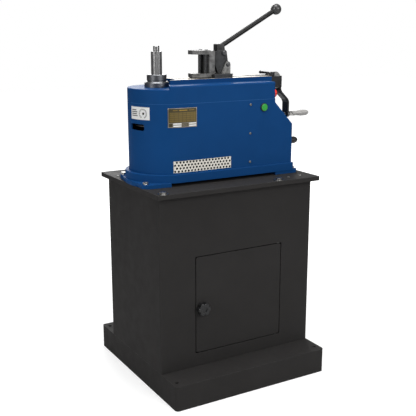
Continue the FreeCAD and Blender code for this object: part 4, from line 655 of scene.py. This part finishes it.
def casing_seam_highlight():
    """The thin joint line between the casing and its upper part, on the front and the end, in a
    lighter blue that is a painted highlight along the joint.
    """
    bm = bmesh.new()
    round_start = -HALF_DEPTH * math.pi / 2
    patch(bm, round_start, FLAT_END, SEAM_Z0, SEAM_Z1, low=-0.1, high=0.12, step=6.0)
    new_piece("casing_seam_highlight", bm, "seam_highlight_paint", "stand")


plate_prints()
label_prints()
casing_seam_highlight()


# Camera, from the photograph's own perspective

FOCAL_PX, FRAME_PX, SENSOR = 752.3, 416, 36.0
YAW, PITCH = math.radians(30.29), math.radians(13.68)
camera_data = bpy.data.cameras.new("camera")
camera_data.sensor_width = SENSOR
camera_data.lens = FOCAL_PX / FRAME_PX * SENSOR
camera_data.clip_start, camera_data.clip_end = 0.05, 100
camera = bpy.data.objects.new("camera", camera_data)
camera.location = (-1.358, -2.319, 1.247)
look = Vector((math.sin(YAW) * math.cos(PITCH), math.cos(YAW) * math.cos(PITCH),
               -math.sin(PITCH)))
camera.rotation_mode = "QUATERNION"
camera.rotation_quaternion = look.to_track_quat("-Z", "Y")
scene.collection.objects.link(camera)
scene.camera = camera


# Floor, world and lamps, in metres and watts

FLOOR_REACH = 12.0
FLOOR_DROP = 0.0005  # below the plinth, so that the two don't lie in one plane
WORLD_FILL = 0.12
WHITE = (1, 1, 1, 1)


def floor_shader():
    """A pale floor that catches shadows near the object and glows white farther away."""
    m = Surface("floor_pale")
    m.set("Roughness", m.ramp(m.noise(3.0, detail=2.0), *SPREAD, 0.7, 0.8))
    m.set("Base Color", (0.5, 0.5, 0.5, 1))
    distance = m.add("ShaderNodeVectorMath", operation="LENGTH")
    m.link(m.place, distance.inputs[0])
    farther = m.ramp(distance.outputs["Value"], low=0.6, high=2.2, out_low=0.6)
    glow = m.add("ShaderNodeEmission")
    glow.inputs["Color"].default_value = WHITE
    m.link(m.math("MULTIPLY", m.seen(), farther), glow.inputs["Strength"])
    both = m.add("ShaderNodeAddShader")
    m.link(m.shader.outputs["BSDF"], both.inputs[0])
    m.link(glow.outputs["Emission"], both.inputs[1])
    m.link(both.outputs[0], m.tree.nodes["Material Output"].inputs["Surface"])
    return MATERIALS["floor_pale"]


def light_world():
    """A world that is seen white and that fills the shadows faintly."""
    world = bpy.data.worlds.new("studio")
    scene.world = world
    world.use_nodes = True
    world.node_tree.nodes.clear()
    w = Nodes(world.node_tree)
    choose = w.add("ShaderNodeMixShader")
    w.link(w.seen(), choose.inputs[0])
    for i, strength in ((1, WORLD_FILL), (2, 1.0)):
        sky = w.add("ShaderNodeBackground")
        sky.inputs["Color"].default_value = WHITE
        sky.inputs["Strength"].default_value = strength
        w.link(sky.outputs[0], choose.inputs[i])
    w.link(choose.outputs[0], w.add("ShaderNodeOutputWorld").inputs["Surface"])


def lamp(name, place, aim, size, power):
    data = bpy.data.lights.new(name, "AREA")
    data.shape = "RECTANGLE"
    data.size, data.size_y = size
    data.energy = power
    made = bpy.data.objects.new(name, data)
    made.location = place
    made.rotation_mode = "QUATERNION"
    made.rotation_quaternion = (Vector(aim) - Vector(place)).to_track_quat("-Z", "Y")
    scene.collection.objects.link(made)


floor_mesh = bpy.data.meshes.new("floor")
floor_mesh.from_pydata([(x * FLOOR_REACH, y * FLOOR_REACH, 0)
                        for x, y in ((-1, -1), (1, -1), (1, 1), (-1, 1))], [], [(0, 1, 2, 3)])
floor_mesh.materials.append(floor_shader())
floor = bpy.data.objects.new("floor", floor_mesh)
floor.location.z = -FLOOR_DROP
scene.collection.objects.link(floor)

light_world()
lamp("front", place=(1.4, -4.8, 2.8), aim=(0, 0, 0.7), size=(3.2, 2.6), power=150)
lamp("left", place=(-4.8, -1.2, 2.6), aim=(0, 0, 0.7), size=(2.6, 2.6), power=98)
lamp("top", place=(-0.3, -0.3, 5.0), aim=(0, 0, 0.7), size=(3.0, 3.0), power=185)
lamp("back", place=(1.8, 4.6, 3.0), aim=(0, 0, 0.8), size=(2.6, 2.6), power=120)

scene.view_settings.view_transform = "Standard"
